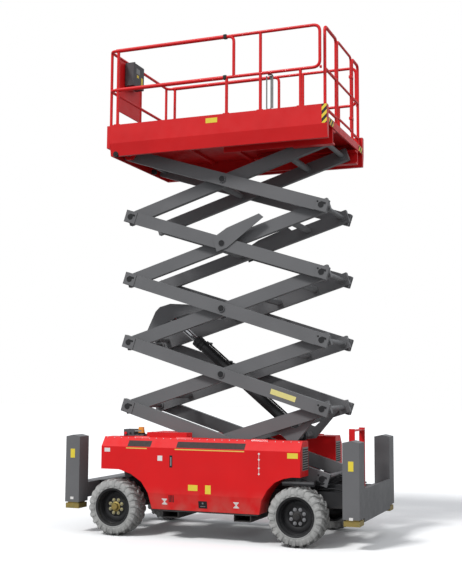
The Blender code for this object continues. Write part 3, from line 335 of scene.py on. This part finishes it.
def add_ring(bm, start, end, inner, outer, sides=36):
    """A hollow collar between two points."""
    start, end = Vector(start), Vector(end)
    turn = (end - start).to_track_quat("Z", "Y")
    rings = []
    for centre, radius in ((start, inner), (start, outer), (end, outer), (end, inner)):
        rings.append([
            bm.verts.new(centre + turn @ Vector((radius * math.cos(angle), radius * math.sin(angle), 0)))
            for angle in (math.tau * k / sides for k in range(sides))])
    for first, second in zip(rings, rings[1:] + rings[:1]):
        for k in range(sides):
            bm.faces.new((first[k], first[(k + 1) % sides], second[(k + 1) % sides], second[k]))


def add_bolt(bm, place, axis, radius, washer=True):
    """A hexagon head, with a washer under it."""
    place, axis = Vector(place), Vector(axis).normalized()
    if washer:
        add_rod(bm, place, place + axis * radius * 0.25, radius * 1.45, 20)
        place = place + axis * radius * 0.25
    add_rod(bm, place, place + axis * radius * 0.65, radius, 6)
    add_rod(bm, place + axis * radius * 0.65, place + axis * radius * 0.85, radius * 0.55, 12)


def add_turned(bm, profile, steps):
    """A closed (radius, y) outline turned about the Y axis."""
    ring = [bm.verts.new((radius, y, 0)) for radius, y in profile]
    edges = [bm.edges.new((ring[i], ring[(i + 1) % len(ring)])) for i in range(len(ring))]
    bmesh.ops.spin(
        bm, geom=ring + edges, cent=(0, 0, 0), axis=(0, 1, 0), dvec=(0, 0, 0), angle=math.tau, steps=steps,
        use_merge=True)
    bmesh.ops.remove_doubles(bm, verts=bm.verts[:], dist=MERGE)


def finish_piece(name, bm, look, body, smooth=40, shift=None):
    bmesh.ops.recalc_face_normals(bm, faces=bm.faces[:])
    mesh = bpy.data.meshes.new(name)
    bm.to_mesh(mesh)
    bm.free()
    mesh.materials.append(look.material)
    mesh.shade_smooth()
    mesh.set_sharp_from_angle(angle=math.radians(smooth))
    made = bpy.data.objects.new(name, mesh)
    bpy.context.scene.collection.objects.link(made)
    if shift:
        made.location = shift
    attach(made, body)
    return made


TUBE_SMOOTH = 50    # degrees up to which a tube's faces shade as one


def tube_object(name, runs, radius, look, body, bend=0.0, sides=4, closed=False):
    """Smooth round tubes through corner points, with rounded corners, joined in one object."""
    curve = bpy.data.curves.new(name, "CURVE")
    curve.dimensions = "3D"
    curve.bevel_depth = radius
    curve.bevel_resolution = sides
    curve.use_fill_caps = True
    for run in runs:
        points = rounded(run, bend, closed)
        spline = curve.splines.new("POLY")
        spline.points.add(len(points) - 1)
        for point, place in zip(spline.points, points):
            point.co = (*place, 1)
        spline.use_cyclic_u = closed
    temp = bpy.data.objects.new(name, curve)
    bpy.context.scene.collection.objects.link(temp)
    bpy.context.view_layer.update()
    graph = bpy.context.evaluated_depsgraph_get()
    mesh = bpy.data.meshes.new_from_object(temp.evaluated_get(graph))
    bpy.data.objects.remove(temp, do_unlink=True)
    bm = bmesh.new()
    bm.from_mesh(mesh)
    bmesh.ops.remove_doubles(bm, verts=bm.verts[:], dist=MERGE)
    return finish_piece(name, bm, look, body, TUBE_SMOOTH)


def rounded(points, bend, closed=False, steps=6):
    """The points with each corner replaced by an arc that leaves the runs at the bend's length."""
    points = [Vector(point) for point in points]
    if not bend:
        return points
    made = []
    count = len(points)
    for index, point in enumerate(points):
        if not closed and index in (0, count - 1):
            made.append(point)
            continue
        before, after = points[index - 1], points[(index + 1) % count]
        reach = min(bend, (before - point).length * 0.45, (after - point).length * 0.45)
        start = point + (before - point).normalized() * reach
        end = point + (after - point).normalized() * reach
        for step in range(steps + 1):
            t = step / steps
            made.append(start * (1 - t) ** 2 + point * 2 * t * (1 - t) + end * t ** 2)
    return made


# ---- wheels

WHEEL_R = 0.338
LUGS = 22
LUG_HEIGHT = 0.026


def lug(bm, side, index):
    """One slanted tread bar that runs from the middle over the shoulder."""
    turn = math.tau * (index + (0.5 if side < 0 else 0)) / LUGS
    rows = (  # y from the middle, turn ahead of the lug's root, radius at its top, half width
        (-0.006, 0.12, WHEEL_R - 0.001, 0.015), (0.060, 0.04, WHEEL_R - 0.002, 0.017),
        (0.112, -0.06, WHEEL_R - 0.008, 0.019), (0.140, -0.10, WHEEL_R - 0.030, 0.020),
        (0.1485, -0.11, WHEEL_R - 0.070, 0.018),
    )
    rings = []
    for y, ahead, top, half in rows:
        angle = turn + ahead
        base = top - LUG_HEIGHT
        spread = half / WHEEL_R
        corners = ((base, -spread * 1.25), (top, -spread * 0.8), (top, spread * 0.8), (base, spread * 1.25))
        rings.append([
            bm.verts.new((radius * math.cos(angle + off), side * y, radius * math.sin(angle + off)))
            for radius, off in corners])
    for first, second in zip(rings, rings[1:]):
        for k in range(4):
            bm.faces.new((first[k], first[(k + 1) % 4], second[(k + 1) % 4], second[k]))
    bm.faces.new(rings[0])
    bm.faces.new(rings[-1][::-1])


def make_tyre(name, centre):
    bm = new_bm()
    core = WHEEL_R - LUG_HEIGHT + 0.004
    profile = (
        (core, -0.100), (core, 0.100), (core - 0.010, 0.128), (core - 0.036, 0.141), (core - 0.060, 0.1435),
        (core - 0.066, 0.1405), (core - 0.080, 0.1405), (core - 0.086, 0.143), (0.222, 0.134), (0.210, 0.127),
        (0.2055, 0.120), (0.2055, -0.120), (0.210, -0.127), (0.222, -0.134), (core - 0.086, -0.143),
        (core - 0.080, -0.1405), (core - 0.066, -0.1405), (core - 0.060, -0.1435), (core - 0.036, -0.141),
        (core - 0.010, -0.128),
    )
    add_turned(bm, profile, 72)
    for index in range(LUGS):
        for lug_side in (1, -1):
            lug(bm, lug_side, index)
    made = finish_piece(f"{name}_tread_tyre", bm, TYRE, f"{name}_wheel", 30, centre)
    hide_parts(f"{name}_tyre")


def make_rim(name, centre, side):
    bm = new_bm()
    s = side
    profile = (  # lip, seat of the tyre, inner lip, back of the disc, hub bore, face of the disc, barrel
        (0.2245, 0.1375), (0.2255, 0.1300), (0.2060, 0.1275), (0.2045, 0.1180), (0.2045, -0.1180),
        (0.2060, -0.1275), (0.2255, -0.1300), (0.2245, -0.1375), (0.1980, -0.1330), (0.1900, -0.1180),
        (0.1840, -0.0020), (0.1200, 0.0150), (0.0950, 0.0100), (0.0950, -0.0500), (0.0370, -0.0550),
        (0.0370, 0.0400), (0.0900, 0.0400), (0.1060, 0.0320), (0.1200, 0.0280), (0.1400, 0.0360),
        (0.1700, 0.0310), (0.1790, 0.0280), (0.1860, 0.0450), (0.1885, 0.0800), (0.1930, 0.0840),
        (0.1945, 0.1180), (0.2020, 0.1310),
    )
    add_turned(bm, [(radius, s * y) for radius, y in profile], 64)
    rim = finish_piece(f"{name}_dish_rim", bm, RIM, f"{name}_wheel", 35, centre)
    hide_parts(f"{name}_rim")
    front = name.startswith("front")
    hub = new_bm()
    cap = ((0.0, 0.041), (0.060, 0.041), (0.058, 0.054), (0.044, 0.058), (0.042, 0.082), (0.036, 0.090),
           (0.0, 0.092))
    add_turned(hub, [(radius, s * y) for radius, y in cap], 40)
    for index in range(5):
        angle = math.tau * index / 5
        add_bolt(hub, (0.022 * math.cos(angle), s * 0.0905, 0.022 * math.sin(angle)), (0, s, 0), 0.005, False)
    cap_look, cap_slot = (GOLD, "gold") if front else (BLACK, "frame_black")
    finish_piece(f"{name}_hub_cap", hub, cap_look, f"{name}_wheel", 35, centre)
    nuts = new_bm()
    for index in range(8):
        angle = math.tau * (index + 0.5) / 8
        place = (0.082 * math.cos(angle), s * 0.0395, 0.082 * math.sin(angle))
        add_bolt(nuts, place, (0, s, 0), 0.0145)
        add_rod(nuts, place, (place[0], s * 0.062, place[2]), 0.007, 10)
    nut_look = PALE_GOLD if front else STEEL
    finish_piece(f"{name}_wheel_nuts", nuts, nut_look, f"{name}_wheel", 30, centre)
    # Painted shade: thin black discs stand in for the holes in the dish, for the dark seen through them.
    painted_shade_openings = new_bm()
    for index in range(6):
        angle = math.tau * (index + 0.25) / 6
        place = Vector((0.160 * math.cos(angle), s * 0.0335, 0.160 * math.sin(angle)))
        add_rod(painted_shade_openings, place, place + Vector((0, s * 0.0014, 0)), 0.0105, 16)
    finish_piece(f"{name}_painted_shade_dish_holes", painted_shade_openings, RUBBER, f"{name}_wheel", 30, centre)


for wheel in WHEELS:
    spot = Vector(JOINTS[f"{wheel}_wheel_spin"]["pos_m"])
    wheel_side = 1 if spot.y > 0 else -1
    make_tyre(wheel, spot)
    make_rim(wheel, spot, wheel_side)


# ---- scissor arms: built straight about the pair's middle, then turned to the rest angle

ARM_LENGTH = 2.62
REST = math.radians(17.6)
HALF = ARM_LENGTH / 2
DEPTH = 0.0775
INNER_Y = (0.392, 0.467)
OUTER_Y = (0.475, 0.550)
LEVEL = ARM_LENGTH * math.sin(REST)
PIVOT = Vector(JOINTS["scissor_fold"]["pos_m"])
MIDDLE_X = PIVOT.x - HALF * math.cos(REST)


def arm_matrix(level, inner):
    z = PIVOT.z + (level - 0.5) * LEVEL
    return Matrix.Translation((MIDDLE_X, 0, z)) @ Matrix.Rotation(REST if inner else -REST, 4, "Y")


def arm_piece(name, bm, look, level, inner):
    bmesh.ops.transform(bm, matrix=arm_matrix(level, inner), verts=bm.verts[:])
    body = f"{'inner' if inner else 'outer'}_arms_{level}"
    return finish_piece(name, bm, look, body)


def outer_details(level):
    """End plates, pin heads with their keeper bolts and keeper bars, of the outer pair."""
    plates, pins = new_bm(), new_bm()
    for side in (1, -1):
        out = OUTER_Y[1]
        for end in (1, -1):
            x = end * HALF
            low_y, high_y = sorted((side * (out + 0.0004), side * (out + 0.007)))
            add_box(plates, (x - 0.085, low_y, -DEPTH + 0.004), (x + 0.068, high_y, DEPTH - 0.004), 0.002)
            if not (level == 5 and end > 0):
                add_rod(pins, (x, side * (out + 0.006), 0), (x, side * (out + 0.0125), 0), 0.034, 24)
                add_bolt(pins, (x - end * 0.050, side * (out + 0.007), 0.030), (0, side, 0), 0.0075)
                low_y, high_y = sorted((side * (out + 0.009), side * (out + 0.012)))
                add_box(pins, (x - 0.052, low_y, 0.018), (x + 0.010, high_y, 0.040), 0.001)
    arm_piece(f"outer_arms_{level}_end_plates", plates, GREY, level, False)
    arm_piece(f"outer_arms_{level}_pin_heads", pins, RIM, level, False)


def inner_details(level):
    """The heads of the middle pins with their keepers, and collars round the cross tubes."""
    pins, collars = new_bm(), new_bm()
    for side in (1, -1):
        out = 0.565
        add_rod(pins, (0, side * out, 0), (0, side * (out + 0.004), 0), 0.036, 28)
        for index in range(4):
            angle = math.tau * (index + 0.5) / 4
            place = (0.022 * math.cos(angle), side * (out + 0.004), 0.022 * math.sin(angle))
            add_bolt(pins, place, (0, side, 0), 0.005, False)
        for x in (-HALF, HALF):
            low_y, high_y = sorted((side * (INNER_Y[0] - 0.012), side * (INNER_Y[0] - 0.0004)))
            add_rod(collars, (x, low_y, 0), (x, high_y, 0), 0.052, 28)
    arm_piece(f"inner_arms_{level}_pin_heads", pins, RIM, level, True)
    if level > 1:
        arm_piece(f"inner_arms_{level}_collars", collars, GREY, level, True)
    else:
        collars.free()


for number in range(1, 6):
    outer_details(number)
    inner_details(number)


def arm_label():
    """A blank yellow plate on the rear half of the third outer arm."""
    bm = new_bm()
    for side in (1, -1):
        low_y, high_y = sorted((side * (OUTER_Y[1] + 0.0003), side * (OUTER_Y[1] + 0.0012)))
        add_box(bm, (-0.98, low_y, -0.028), (-0.66, high_y, 0.034))
    arm_piece("arm_label", bm, PALE_YELLOW, 2, False)


arm_label()


def hose_tray(level):
    """The tray along the inside of an inner pair's left arm that the hoses lie in."""
    bm = new_bm()
    low_y, high_y = INNER_Y[0] - 0.030, INNER_Y[0] - 0.001
    for low_x, high_x in ((-HALF + 0.25, -0.35), (0.35, HALF - 0.42)):
        add_box(bm, (low_x, low_y, -DEPTH + 0.012), (high_x, high_y, -DEPTH + 0.052), 0.003)
    arm_piece(f"inner_arms_{level}_hose_tray", bm, RUBBER, level, True)


for number in (2, 4, 5):
    hose_tray(number)


# ---- lift cylinder

def cylinder_details():
    base = Vector(JOINTS["cylinder_tilt"]["pos_m"])
    along = Vector(JOINTS["cylinder_stroke"]["axis"]).normalized()
    across = Vector((0, 1, 0))
    up = across.cross(along)
    bm = new_bm()
    for distance in (0.16, 1.02, 1.70):
        add_ring(bm, base + along * distance, base + along * (distance + 0.035), 0.0655, 0.072)
    for offset in (0.050, -0.050):
        start = base + along * 0.14 + across * offset - up * 0.066
        add_rod(bm, start, start + along * 1.58, 0.011, 14)
    for distance in (0.20, 0.75, 1.30, 1.66):
        place = base + along * distance - up * 0.083
        add_rod(bm, place - across * 0.065, place + across * 0.065, 0.014, 12)
    block_at = base + along * 0.15 - up * 0.092
    add_rod(bm, block_at - across * 0.035, block_at + across * 0.035, 0.026, 6)
    finish_piece("cylinder_pipes", bm, RIM, "cylinder_barrel")


cylinder_details()


# ---- hoods: labels, bands, bolts, latches and vents

HOOD_OUT = 0.893
HOOD_REAR = -1.1675
SLOPE_IN = Vector((0, 0.804, 1.1735))
SLOPE_OUT = Vector((0, 0.893, 1.061))
TUCK_TOP = Vector((0, 0.893, 0.531))
TUCK_LOW = Vector((0, 0.866, 0.345))


def side_plates(name, rows, look, body, side, face, thick=0.0010, slot=None, bevel=0.0):
    """Flat pieces on a face that looks along Y. Each row is low x, high x, low z, high z."""
    bm = new_bm()
    for low_x, high_x, low_z, high_z in rows:
        low_y, high_y = sorted((side * (face + 0.0002), side * (face + 0.0002 + thick)))
        add_box(bm, (low_x, low_y, low_z), (high_x, high_y, high_z), bevel)
    return finish_piece(name, bm, look, body)


BOX_FACES = ((0, 1, 2, 3), (7, 6, 5, 4), (0, 4, 5, 1), (1, 5, 6, 2), (2, 6, 7, 3), (3, 7, 4, 0))


def slope_plates(name, rows, look, body, side, top_edge, low_edge, thick=0.0009, slot=None):
    """Flat pieces on a sloping band. Each row is low x, high x, then the two shares down the slope."""
    bm = new_bm()
    down = low_edge - top_edge
    out = Vector((0, -down.z, down.y)).normalized()
    for low_x, high_x, top, bottom in rows:
        near, far = top_edge + down * top, top_edge + down * bottom
        ring = (near + out * 0.0002, near + out * thick, far + out * thick, far + out * 0.0002)
        verts = [bm.verts.new((x, side * point.y, point.z)) for x in (low_x, high_x) for point in ring]
        for face in BOX_FACES:
            bm.faces.new([verts[index] for index in face])
    return finish_piece(name, bm, look, body)


def diamond(bm, x, z, half, side, face, thick=0.0010):
    ring = [(x + half, z), (x, z + half), (x - half, z), (x, z - half)]
    low = [bm.verts.new((px, side * (face + 0.0003), pz)) for px, pz in ring]
    high = [bm.verts.new((px, side * (face + 0.0003 + thick), pz)) for px, pz in ring]
    bm.faces.new(low)
    bm.faces.new(high[::-1])
    for k in range(4):
        bm.faces.new((low[k], low[(k + 1) % 4], high[(k + 1) % 4], high[k]))


def hood_details(side_name, side):
    body = f"{side_name}_cover"
    face = HOOD_OUT
    slope = (body, side, SLOPE_IN, SLOPE_OUT)
    tuck = (body, side, TUCK_TOP, TUCK_LOW)
    bands = [(-0.50, 0.355, 0.36, 0.96), (0.690, 0.995, 0.36, 0.96)]
    slope_plates(f"{side_name}_hood_band", bands, DARK_BAND, *slope)
    lines = [(-0.50, 0.370, 1.040, 1.052), (0.735, 1.010, 1.040, 1.052)]
    side_plates(f"{side_name}_hood_band_line", lines, LINE_GOLD, body, side, face)
    bolts = new_bm()
    down = SLOPE_OUT - SLOPE_IN
    out = Vector((0, side * -down.z, down.y))
    place = SLOPE_IN + down * 0.10
    for index in range(27):
        add_bolt(bolts, (-1.13 + index * 0.0935, side * place.y, place.z), out, 0.0055, False)
    finish_piece(f"{side_name}_hood_bolts", bolts, STEEL, body, 30)
    grip_plate = [(0.400, 0.436, 0.835, 0.975)]
    side_plates(f"{side_name}_hood_grip", grip_plate, RUBBER, body, side, face, 0.0016, None, 0.0006)
    grip = new_bm()
    low_y, high_y = sorted((side * (face + 0.0014), side * (face + 0.0019)))
    add_box(grip, (0.410, low_y, 0.855), (0.426, high_y, 0.955), 0.0002)
    finish_piece(f"{side_name}_hood_grip_bar", grip, STEEL, body)
    lock = [(-0.040, 0.068, 0.36, 0.80)]
    slope_plates(f"{side_name}_hood_lock", lock, RUBBER, *tuck, 0.0016, "frame_black")
    key = [(0.004, 0.024, 0.44, 0.54), (-0.016, 0.044, 0.66, 0.70)]
    slope_plates(f"{side_name}_hood_lock_key", key, STEEL, *tuck, 0.0022)
    # Painted shade: thin black strips stand in for the vent slots, for the shade inside them.
    painted_shade_openings = [(0.380 + k * 0.018, 0.390 + k * 0.018, 0.08, 0.52) for k in range(4)]
    slope_plates(f"{side_name}_hood_painted_shade_vent_slots", painted_shade_openings, RUBBER, *tuck, 0.0012)
    marks = new_bm()
    for z in (0.800, 0.865, 0.960, 1.025):
        diamond(marks, -0.678, z, 0.014, side, face)
    low_y, high_y = sorted((side * (face + 0.0002), side * (face + 0.001)))
    add_box(marks, (-0.680, low_y, 0.80), (-0.676, high_y, 1.040))
    finish_piece(f"{side_name}_hood_marks", marks, WHITE, body)
    for index, x in enumerate((0.500, -0.400)):
        rows = []
        for half in (0.010, 0.022, 0.034):
            reach = half * 5.4      # how far down the slope from its middle, as a share
            rows.append((x - half, x + half, 0.50 - reach, 0.56 - reach))
            rows.append((x - half, x + half, 0.44 + reach, 0.50 + reach))
        slope_plates(f"{side_name}_fork_mark_{index + 1}", rows, WHITE, *tuck)
    yellow = [(0.075, 0.195, 0.578, 0.645), (-0.090, -0.020, 0.548, 0.648), (-1.140, -1.015, 0.985, 1.045)]
    side_plates(f"{side_name}_hood_yellow_labels", yellow, YELLOW, body, side, face)
    white = [(1.225, 1.300, 0.995, 1.040), (0.530, 0.592, 0.908, 0.968)]
    side_plates(f"{side_name}_hood_white_labels", white, WHITE, body, side, face)
    louvre = new_bm()
    rear_x = HOOD_REAR
    low_y, high_y = sorted((side * 0.60, side * 0.81))
    add_box(louvre, (rear_x - 0.0022, low_y, 0.845), (rear_x - 0.0003, high_y, 1.105), 0.0005)
    finish_piece(f"{side_name}_enclosure_vent_plate", louvre, STRAP, "chassis")
    slats = new_bm()
    for row in range(9):
        z = 0.855 + row * 0.027
        add_box(
            slats, (rear_x - 0.0055, low_y + 0.008, z), (rear_x - 0.0022, high_y - 0.008, z + 0.013), 0.001)
    finish_piece(f"{side_name}_enclosure_louvre", slats, RUBBER, "chassis")


for name, sign in SIDES:
    hood_details(name, sign)


# ---- outriggers, rear hoses, control box and beacon

def outrigger_details(end, low_x, high_x, label_low, white_low):
    middle = (low_x + high_x) / 2
    yellow, white = new_bm(), new_bm()
    for side in (1, -1):
        low_y, high_y = sorted((side * 0.8852, side * 0.8862))
        add_box(yellow, (middle - 0.030, low_y, label_low), (middle + 0.030, high_y, label_low + 0.108))
        add_box(white, (middle - 0.022, low_y, white_low), (middle + 0.022, high_y, white_low + 0.030))
    finish_piece(f"{end}_outrigger_yellow_labels", yellow, YELLOW, "chassis")
    finish_piece(f"{end}_outrigger_white_labels", white, WHITE, "chassis")


outrigger_details("front", 1.6475, 1.8375, 0.907, 0.408)
outrigger_details("rear", -1.8375, -1.6475, 0.867, 0.340)


def rear_hoses():
    """Hoses from the valve block and the compartments to the rear legs."""
    runs = []
    for index, (y, z, lift) in enumerate(((0.30, 0.66, 0.05), (0.33, 0.70, 0.09), (0.36, 0.74, 0.03))):
        step = index * 0.02
        runs.append([
            (-1.548, y, z), (-1.50 + step, y + 0.01, z + lift), (-1.42, y + 0.12, z + lift * 0.5),
            (-1.34, y + 0.20, 0.640 + step), (-1.25, 0.575, 0.680 + step)])
    for side in (1, -1):
        runs.append([(-1.20, side * 0.50, 0.612), (-1.34, side * 0.53, 0.625), (-1.46, side * 0.55, 0.640),
                     (-1.57, side * 0.545, 0.616)])
    tube_object("rear_hoses", runs, 0.0095, RUBBER, "chassis", 0.06)


rear_hoses()


def control_box_details():
    bm = new_bm()
    y_high = 0.77   # outer face of the box
    for index in range(4):
        x = 0.905 + index * 0.055
        add_rod(bm, (x, y_high - 0.001, 1.216), (x, y_high + 0.010, 1.216), 0.011, 20)
    finish_piece("ground_control_buttons", bm, RUBBER, "chassis")
    stop = new_bm()
    add_rod(stop, (1.075, y_high - 0.001, 1.216), (1.075, y_high + 0.012, 1.216), 0.010, 20)
    add_rod(stop, (1.075, y_high + 0.012, 1.216), (1.075, y_high + 0.020, 1.216), 0.017, 24)
    finish_piece("ground_control_stop", stop, RED, "chassis")
    screen = new_bm()
    add_box(screen, (0.870, y_high, 1.236), (0.960, y_high + 0.0015, 1.256), 0.0005)
    finish_piece("ground_control_screen", screen, STRAP, "chassis")
    collar = new_bm()
    add_rod(collar, (0.9025, 0.705, 1.2052), (0.9025, 0.705, 1.222), 0.0475, 40)
    finish_piece("beacon_collar", collar, RUBBER, "chassis")


control_box_details()


# ---- deck: labels, hazard bars, floor and rollers

DECK_OUT = 0.875
FLOOR_TOP = 4.8810


def deck_details():
    for side_name, side in SIDES:
        deck_side = ("platform", side, DECK_OUT)
        side_plates(f"{side_name}_deck_yellow_label", [(-0.130, 0.020, 4.925, 4.985)], YELLOW, *deck_side)
        side_plates(f"{side_name}_deck_hazard", [(-1.4860, -1.425, 4.795, 5.018)], HAZARD, *deck_side)
    floor = new_bm()
    add_box(floor, (-1.400, -0.770, FLOOR_TOP + 0.0002), (-0.180, 0.770, FLOOR_TOP + 0.0020))
    finish_piece("deck_floor_plate", floor, FLOOR_PLATE, "platform")
    ahead = new_bm()
    add_box(ahead, (-0.170, -0.770, FLOOR_TOP + 0.0252), (1.270, 0.770, FLOOR_TOP + 0.0270))
    finish_piece("extension_floor_plate", ahead, FLOOR_PLATE, "extension")
    rear = new_bm()
    for low_y, high_y in ((-0.79, -0.60), (0.60, 0.79)):
        add_box(rear, (-1.4895, low_y, 4.800), (-1.4878, high_y, 4.875))
    finish_piece("deck_rear_hazard", rear, HAZARD, "platform")
    feet = new_bm()
    for y in (0.842, -0.24):
        add_rod(feet, (1.240, y - 0.022, 4.652), (1.240, y + 0.022, 4.652), 0.034, 28)
        add_rod(feet, (1.240, y - 0.026, 4.652), (1.240, y + 0.026, 4.652), 0.012, 16)
    finish_piece("deck_front_rollers", feet, RUBBER, "platform")


deck_details()


# ---- guardrails: smooth tubes with bent corners in place of the plain ones

RAIL_TOP = 5.9760
RAIL_MID = 5.4710
RAIL_Y = 0.845
TUBE_R = 0.019
SLEEVE_R = 0.0245
TOE_TOP = 5.0210
SLEEVE_REAR = -0.2175
SLEEVE_FRONT = 1.2575
LOOP_REAR = -1.3975
REAR_X = -1.4375
NOSE_X = 1.3415
POSTS = (   # x, top
    (-0.2375, RAIL_MID), (-0.6675, RAIL_TOP), (-1.1625, RAIL_MID), (SLEEVE_FRONT - 0.030, RAIL_TOP),
)


def gather(name, groups, body, replaced, extra=()):
    """One piece from several groups of tubes. Each group is a radius, a bend and its runs."""
    bm = new_bm()
    for radius, bend, runs in groups:
        made = tube_object(f"{name}_run", runs, radius, RED, body, bend)
        bm.from_mesh(made.data)
        bpy.data.objects.remove(made, do_unlink=True)
    for low, high in extra:
        add_box(bm, low, high, 0.002)
    piece = finish_piece(name, bm, RED, body, 50)
    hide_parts(replaced)


def side_rail(side_name, side):
    y = side * RAIL_Y
    small = [
        [(SLEEVE_REAR, y, RAIL_TOP), (LOOP_REAR, y, RAIL_TOP), (LOOP_REAR, y, RAIL_MID),
         (SLEEVE_REAR, y, RAIL_MID)],
        [(SLEEVE_REAR + 0.05, y, RAIL_TOP - 0.004), (-0.3275, y, RAIL_TOP - 0.004), (-0.3275, y, RAIL_MID)],
    ]
    posts = [[(x, y, TOE_TOP + 0.0010), (x, y, top)] for x, top in POSTS]
    posts.append([(LOOP_REAR, y, RAIL_MID), (REAR_X + 0.021, y, RAIL_MID)])
    sleeves = [[(SLEEVE_REAR, y, z), (SLEEVE_FRONT, y, z)] for z in (RAIL_TOP, RAIL_MID)]
    feet = [
        ((x - 0.040, y - 0.026, TOE_TOP + 0.0005), (x + 0.040, y + 0.026, TOE_TOP + 0.010)) for x, _ in POSTS]
    tubes = ((TUBE_R, 0.085, small), (TUBE_R, 0, posts), (SLEEVE_R, 0, sleeves))
    gather(f"{side_name}_side_rail", tubes, "platform", f"{side_name}_guardrail", feet)
    clamp = new_bm()
    for z in (RAIL_TOP, RAIL_MID):
        add_box(
            clamp, (SLEEVE_REAR - 0.022, y - 0.026, z - 0.0248), (SLEEVE_REAR + 0.022, y + 0.026, z + 0.0248),
            0.004)
    finish_piece(f"{side_name}_rail_clamps", clamp, RUBBER, "platform")


for name, sign in SIDES:
    side_rail(name, sign)


def end_rail(name, replaced, body, low_y, high_y, foot, low_bar, radius, lugs=()):
    """A stretch of the rear rail: a bent loop with two bars across it."""
    loop = [[
        (REAR_X, low_y, foot), (REAR_X, low_y, RAIL_TOP), (REAR_X, high_y, RAIL_TOP), (REAR_X, high_y, foot)]]
    bars = [[(REAR_X, low_y, z), (REAR_X, high_y, z)] for z in (RAIL_MID, low_bar)]
    gather(name, ((radius, 0.060, loop), (radius - 0.001, 0, bars)), body, replaced, lugs)


FLOOR_FOOT = FLOOR_TOP + 0.0035
GATE_LUGS = [
    ((REAR_X - 0.022, -0.475, z - 0.018), (REAR_X + 0.022, -0.395, z + 0.018)) for z in (5.181, 5.721)]
end_rail("left_end_rail", "rear_guardrail_left", "platform", 0.295, 0.775, FLOOR_FOOT, 5.001, TUBE_R)
end_rail(
    "right_end_rail", "rear_guardrail_right", "platform", -0.775, -0.475, FLOOR_FOOT, 5.001, TUBE_R,
    GATE_LUGS)
end_rail("gate_rail", "entry_gate", "entry_gate", -0.415, 0.235, 5.003, 5.021, 0.0155)


def nose_rail():
    bars = []
    for z in (RAIL_TOP, RAIL_MID):
        bars.append([(-0.157, RAIL_Y, z), (NOSE_X, RAIL_Y, z), (NOSE_X, -RAIL_Y, z), (-0.157, -RAIL_Y, z)])
    posts = [[(NOSE_X, y, 5.0165), (NOSE_X, y, RAIL_TOP)] for y in (0.800, 0.0, -0.800)]
    plate = [((NOSE_X - 0.006, 0.0, RAIL_MID - 0.20), (NOSE_X + 0.006, 0.600, RAIL_TOP))]
    gather("nose_rail", ((TUBE_R - 0.0005, 0.075, bars), (TUBE_R - 0.001, 0, posts)), "extension",
           "extension_guardrail", plate)


nose_rail()


def control_face():
    """Labels, a small screen and a stick on the rear face of the platform's control box."""
    back = 1.2035
    screen, yellow, dark = new_bm(), new_bm(), new_bm()
    add_box(screen, (back - 0.0008, 0.300, 5.820), (back + 0.001, 0.400, 5.890), 0.0003)
    add_box(yellow, (back - 0.0008, 0.215, 5.690), (back + 0.001, 0.262, 5.800), 0.0002)
    add_box(yellow, (back - 0.0008, 0.330, 5.770), (back + 0.001, 0.385, 5.805), 0.0002)
    add_rod(dark, (back + 0.03, 0.40, 5.9455), (back + 0.03, 0.40, 5.972), 0.012, 20)
    finish_piece("control_screen", screen, STRAP, "extension")
    finish_piece("control_labels", yellow, YELLOW, "extension")
    finish_piece("control_stick", dark, RUBBER, "extension")


control_face()
tube_object(
    "rail_hose_loop",
    [[(-0.735, 0.812, 5.440), (-0.735, 0.812, 5.035), (-0.790, 0.812, 5.035), (-0.790, 0.812, 5.440)],
     [(-0.755, 0.820, 5.452), (-0.812, 0.820, 5.452), (-0.812, 0.820, 5.045)]],
    0.0085, STRAP, "platform", 0.03)


# ---- light, floor and background

def make_stage():
    floor_look = Shader("studio_floor", (0.93, 0.93, 0.93), 0.75)
    floor_look.vary_roughness(0.8, 0.70, 0.80)
    seen_first = floor_look.add("ShaderNodeLightPath").outputs["Is Camera Ray"]
    floor_look.main.inputs["Specular IOR Level"].default_value = 0.0
    shade = floor_look.mix(seen_first, (0.26, 0.26, 0.26), (0.96, 0.96, 0.96))
    floor_look.link(shade, floor_look.main.inputs["Base Color"])
    bm = new_bm()
    bmesh.ops.create_grid(bm, x_segments=1, y_segments=1, size=60)
    mesh = bpy.data.meshes.new("studio_floor")
    bm.to_mesh(mesh)
    bm.free()
    mesh.materials.append(floor_look.material)
    floor = bpy.data.objects.new("studio_floor", mesh)
    bpy.context.scene.collection.objects.link(floor)
    world = bpy.data.worlds.new("studio")
    bpy.context.scene.world = world
    world.use_nodes = True
    tree = world.node_tree
    tree.nodes.clear()
    output = tree.nodes.new("ShaderNodeOutputWorld")
    mix = tree.nodes.new("ShaderNodeMixShader")
    path = tree.nodes.new("ShaderNodeLightPath")
    room = tree.nodes.new("ShaderNodeBackground")
    room.inputs["Color"].default_value = (0.93, 0.96, 1.0, 1)
    room.inputs["Strength"].default_value = 0.62
    seen = tree.nodes.new("ShaderNodeBackground")
    seen.inputs["Color"].default_value = (1, 1, 1, 1)
    tree.links.new(path.outputs["Is Camera Ray"], mix.inputs["Fac"])
    tree.links.new(room.outputs["Background"], mix.inputs[1])
    tree.links.new(seen.outputs["Background"], mix.inputs[2])
    tree.links.new(mix.outputs["Shader"], output.inputs["Surface"])
    for name, strength, angle, turn in (
            ("key_sun", 2.3, 12.0, (math.radians(42), 0, math.radians(155))),
            ("fill_sun", 0.5, 60.0, (math.radians(60), 0, math.radians(245)))):
        data = bpy.data.lights.new(name, "SUN")
        data.energy = strength
        data.angle = math.radians(angle)
        lamp = bpy.data.objects.new(name, data)
        lamp.rotation_euler = turn
        bpy.context.scene.collection.objects.link(lamp)
    bpy.context.scene.view_settings.view_transform = "Standard"


make_stage()
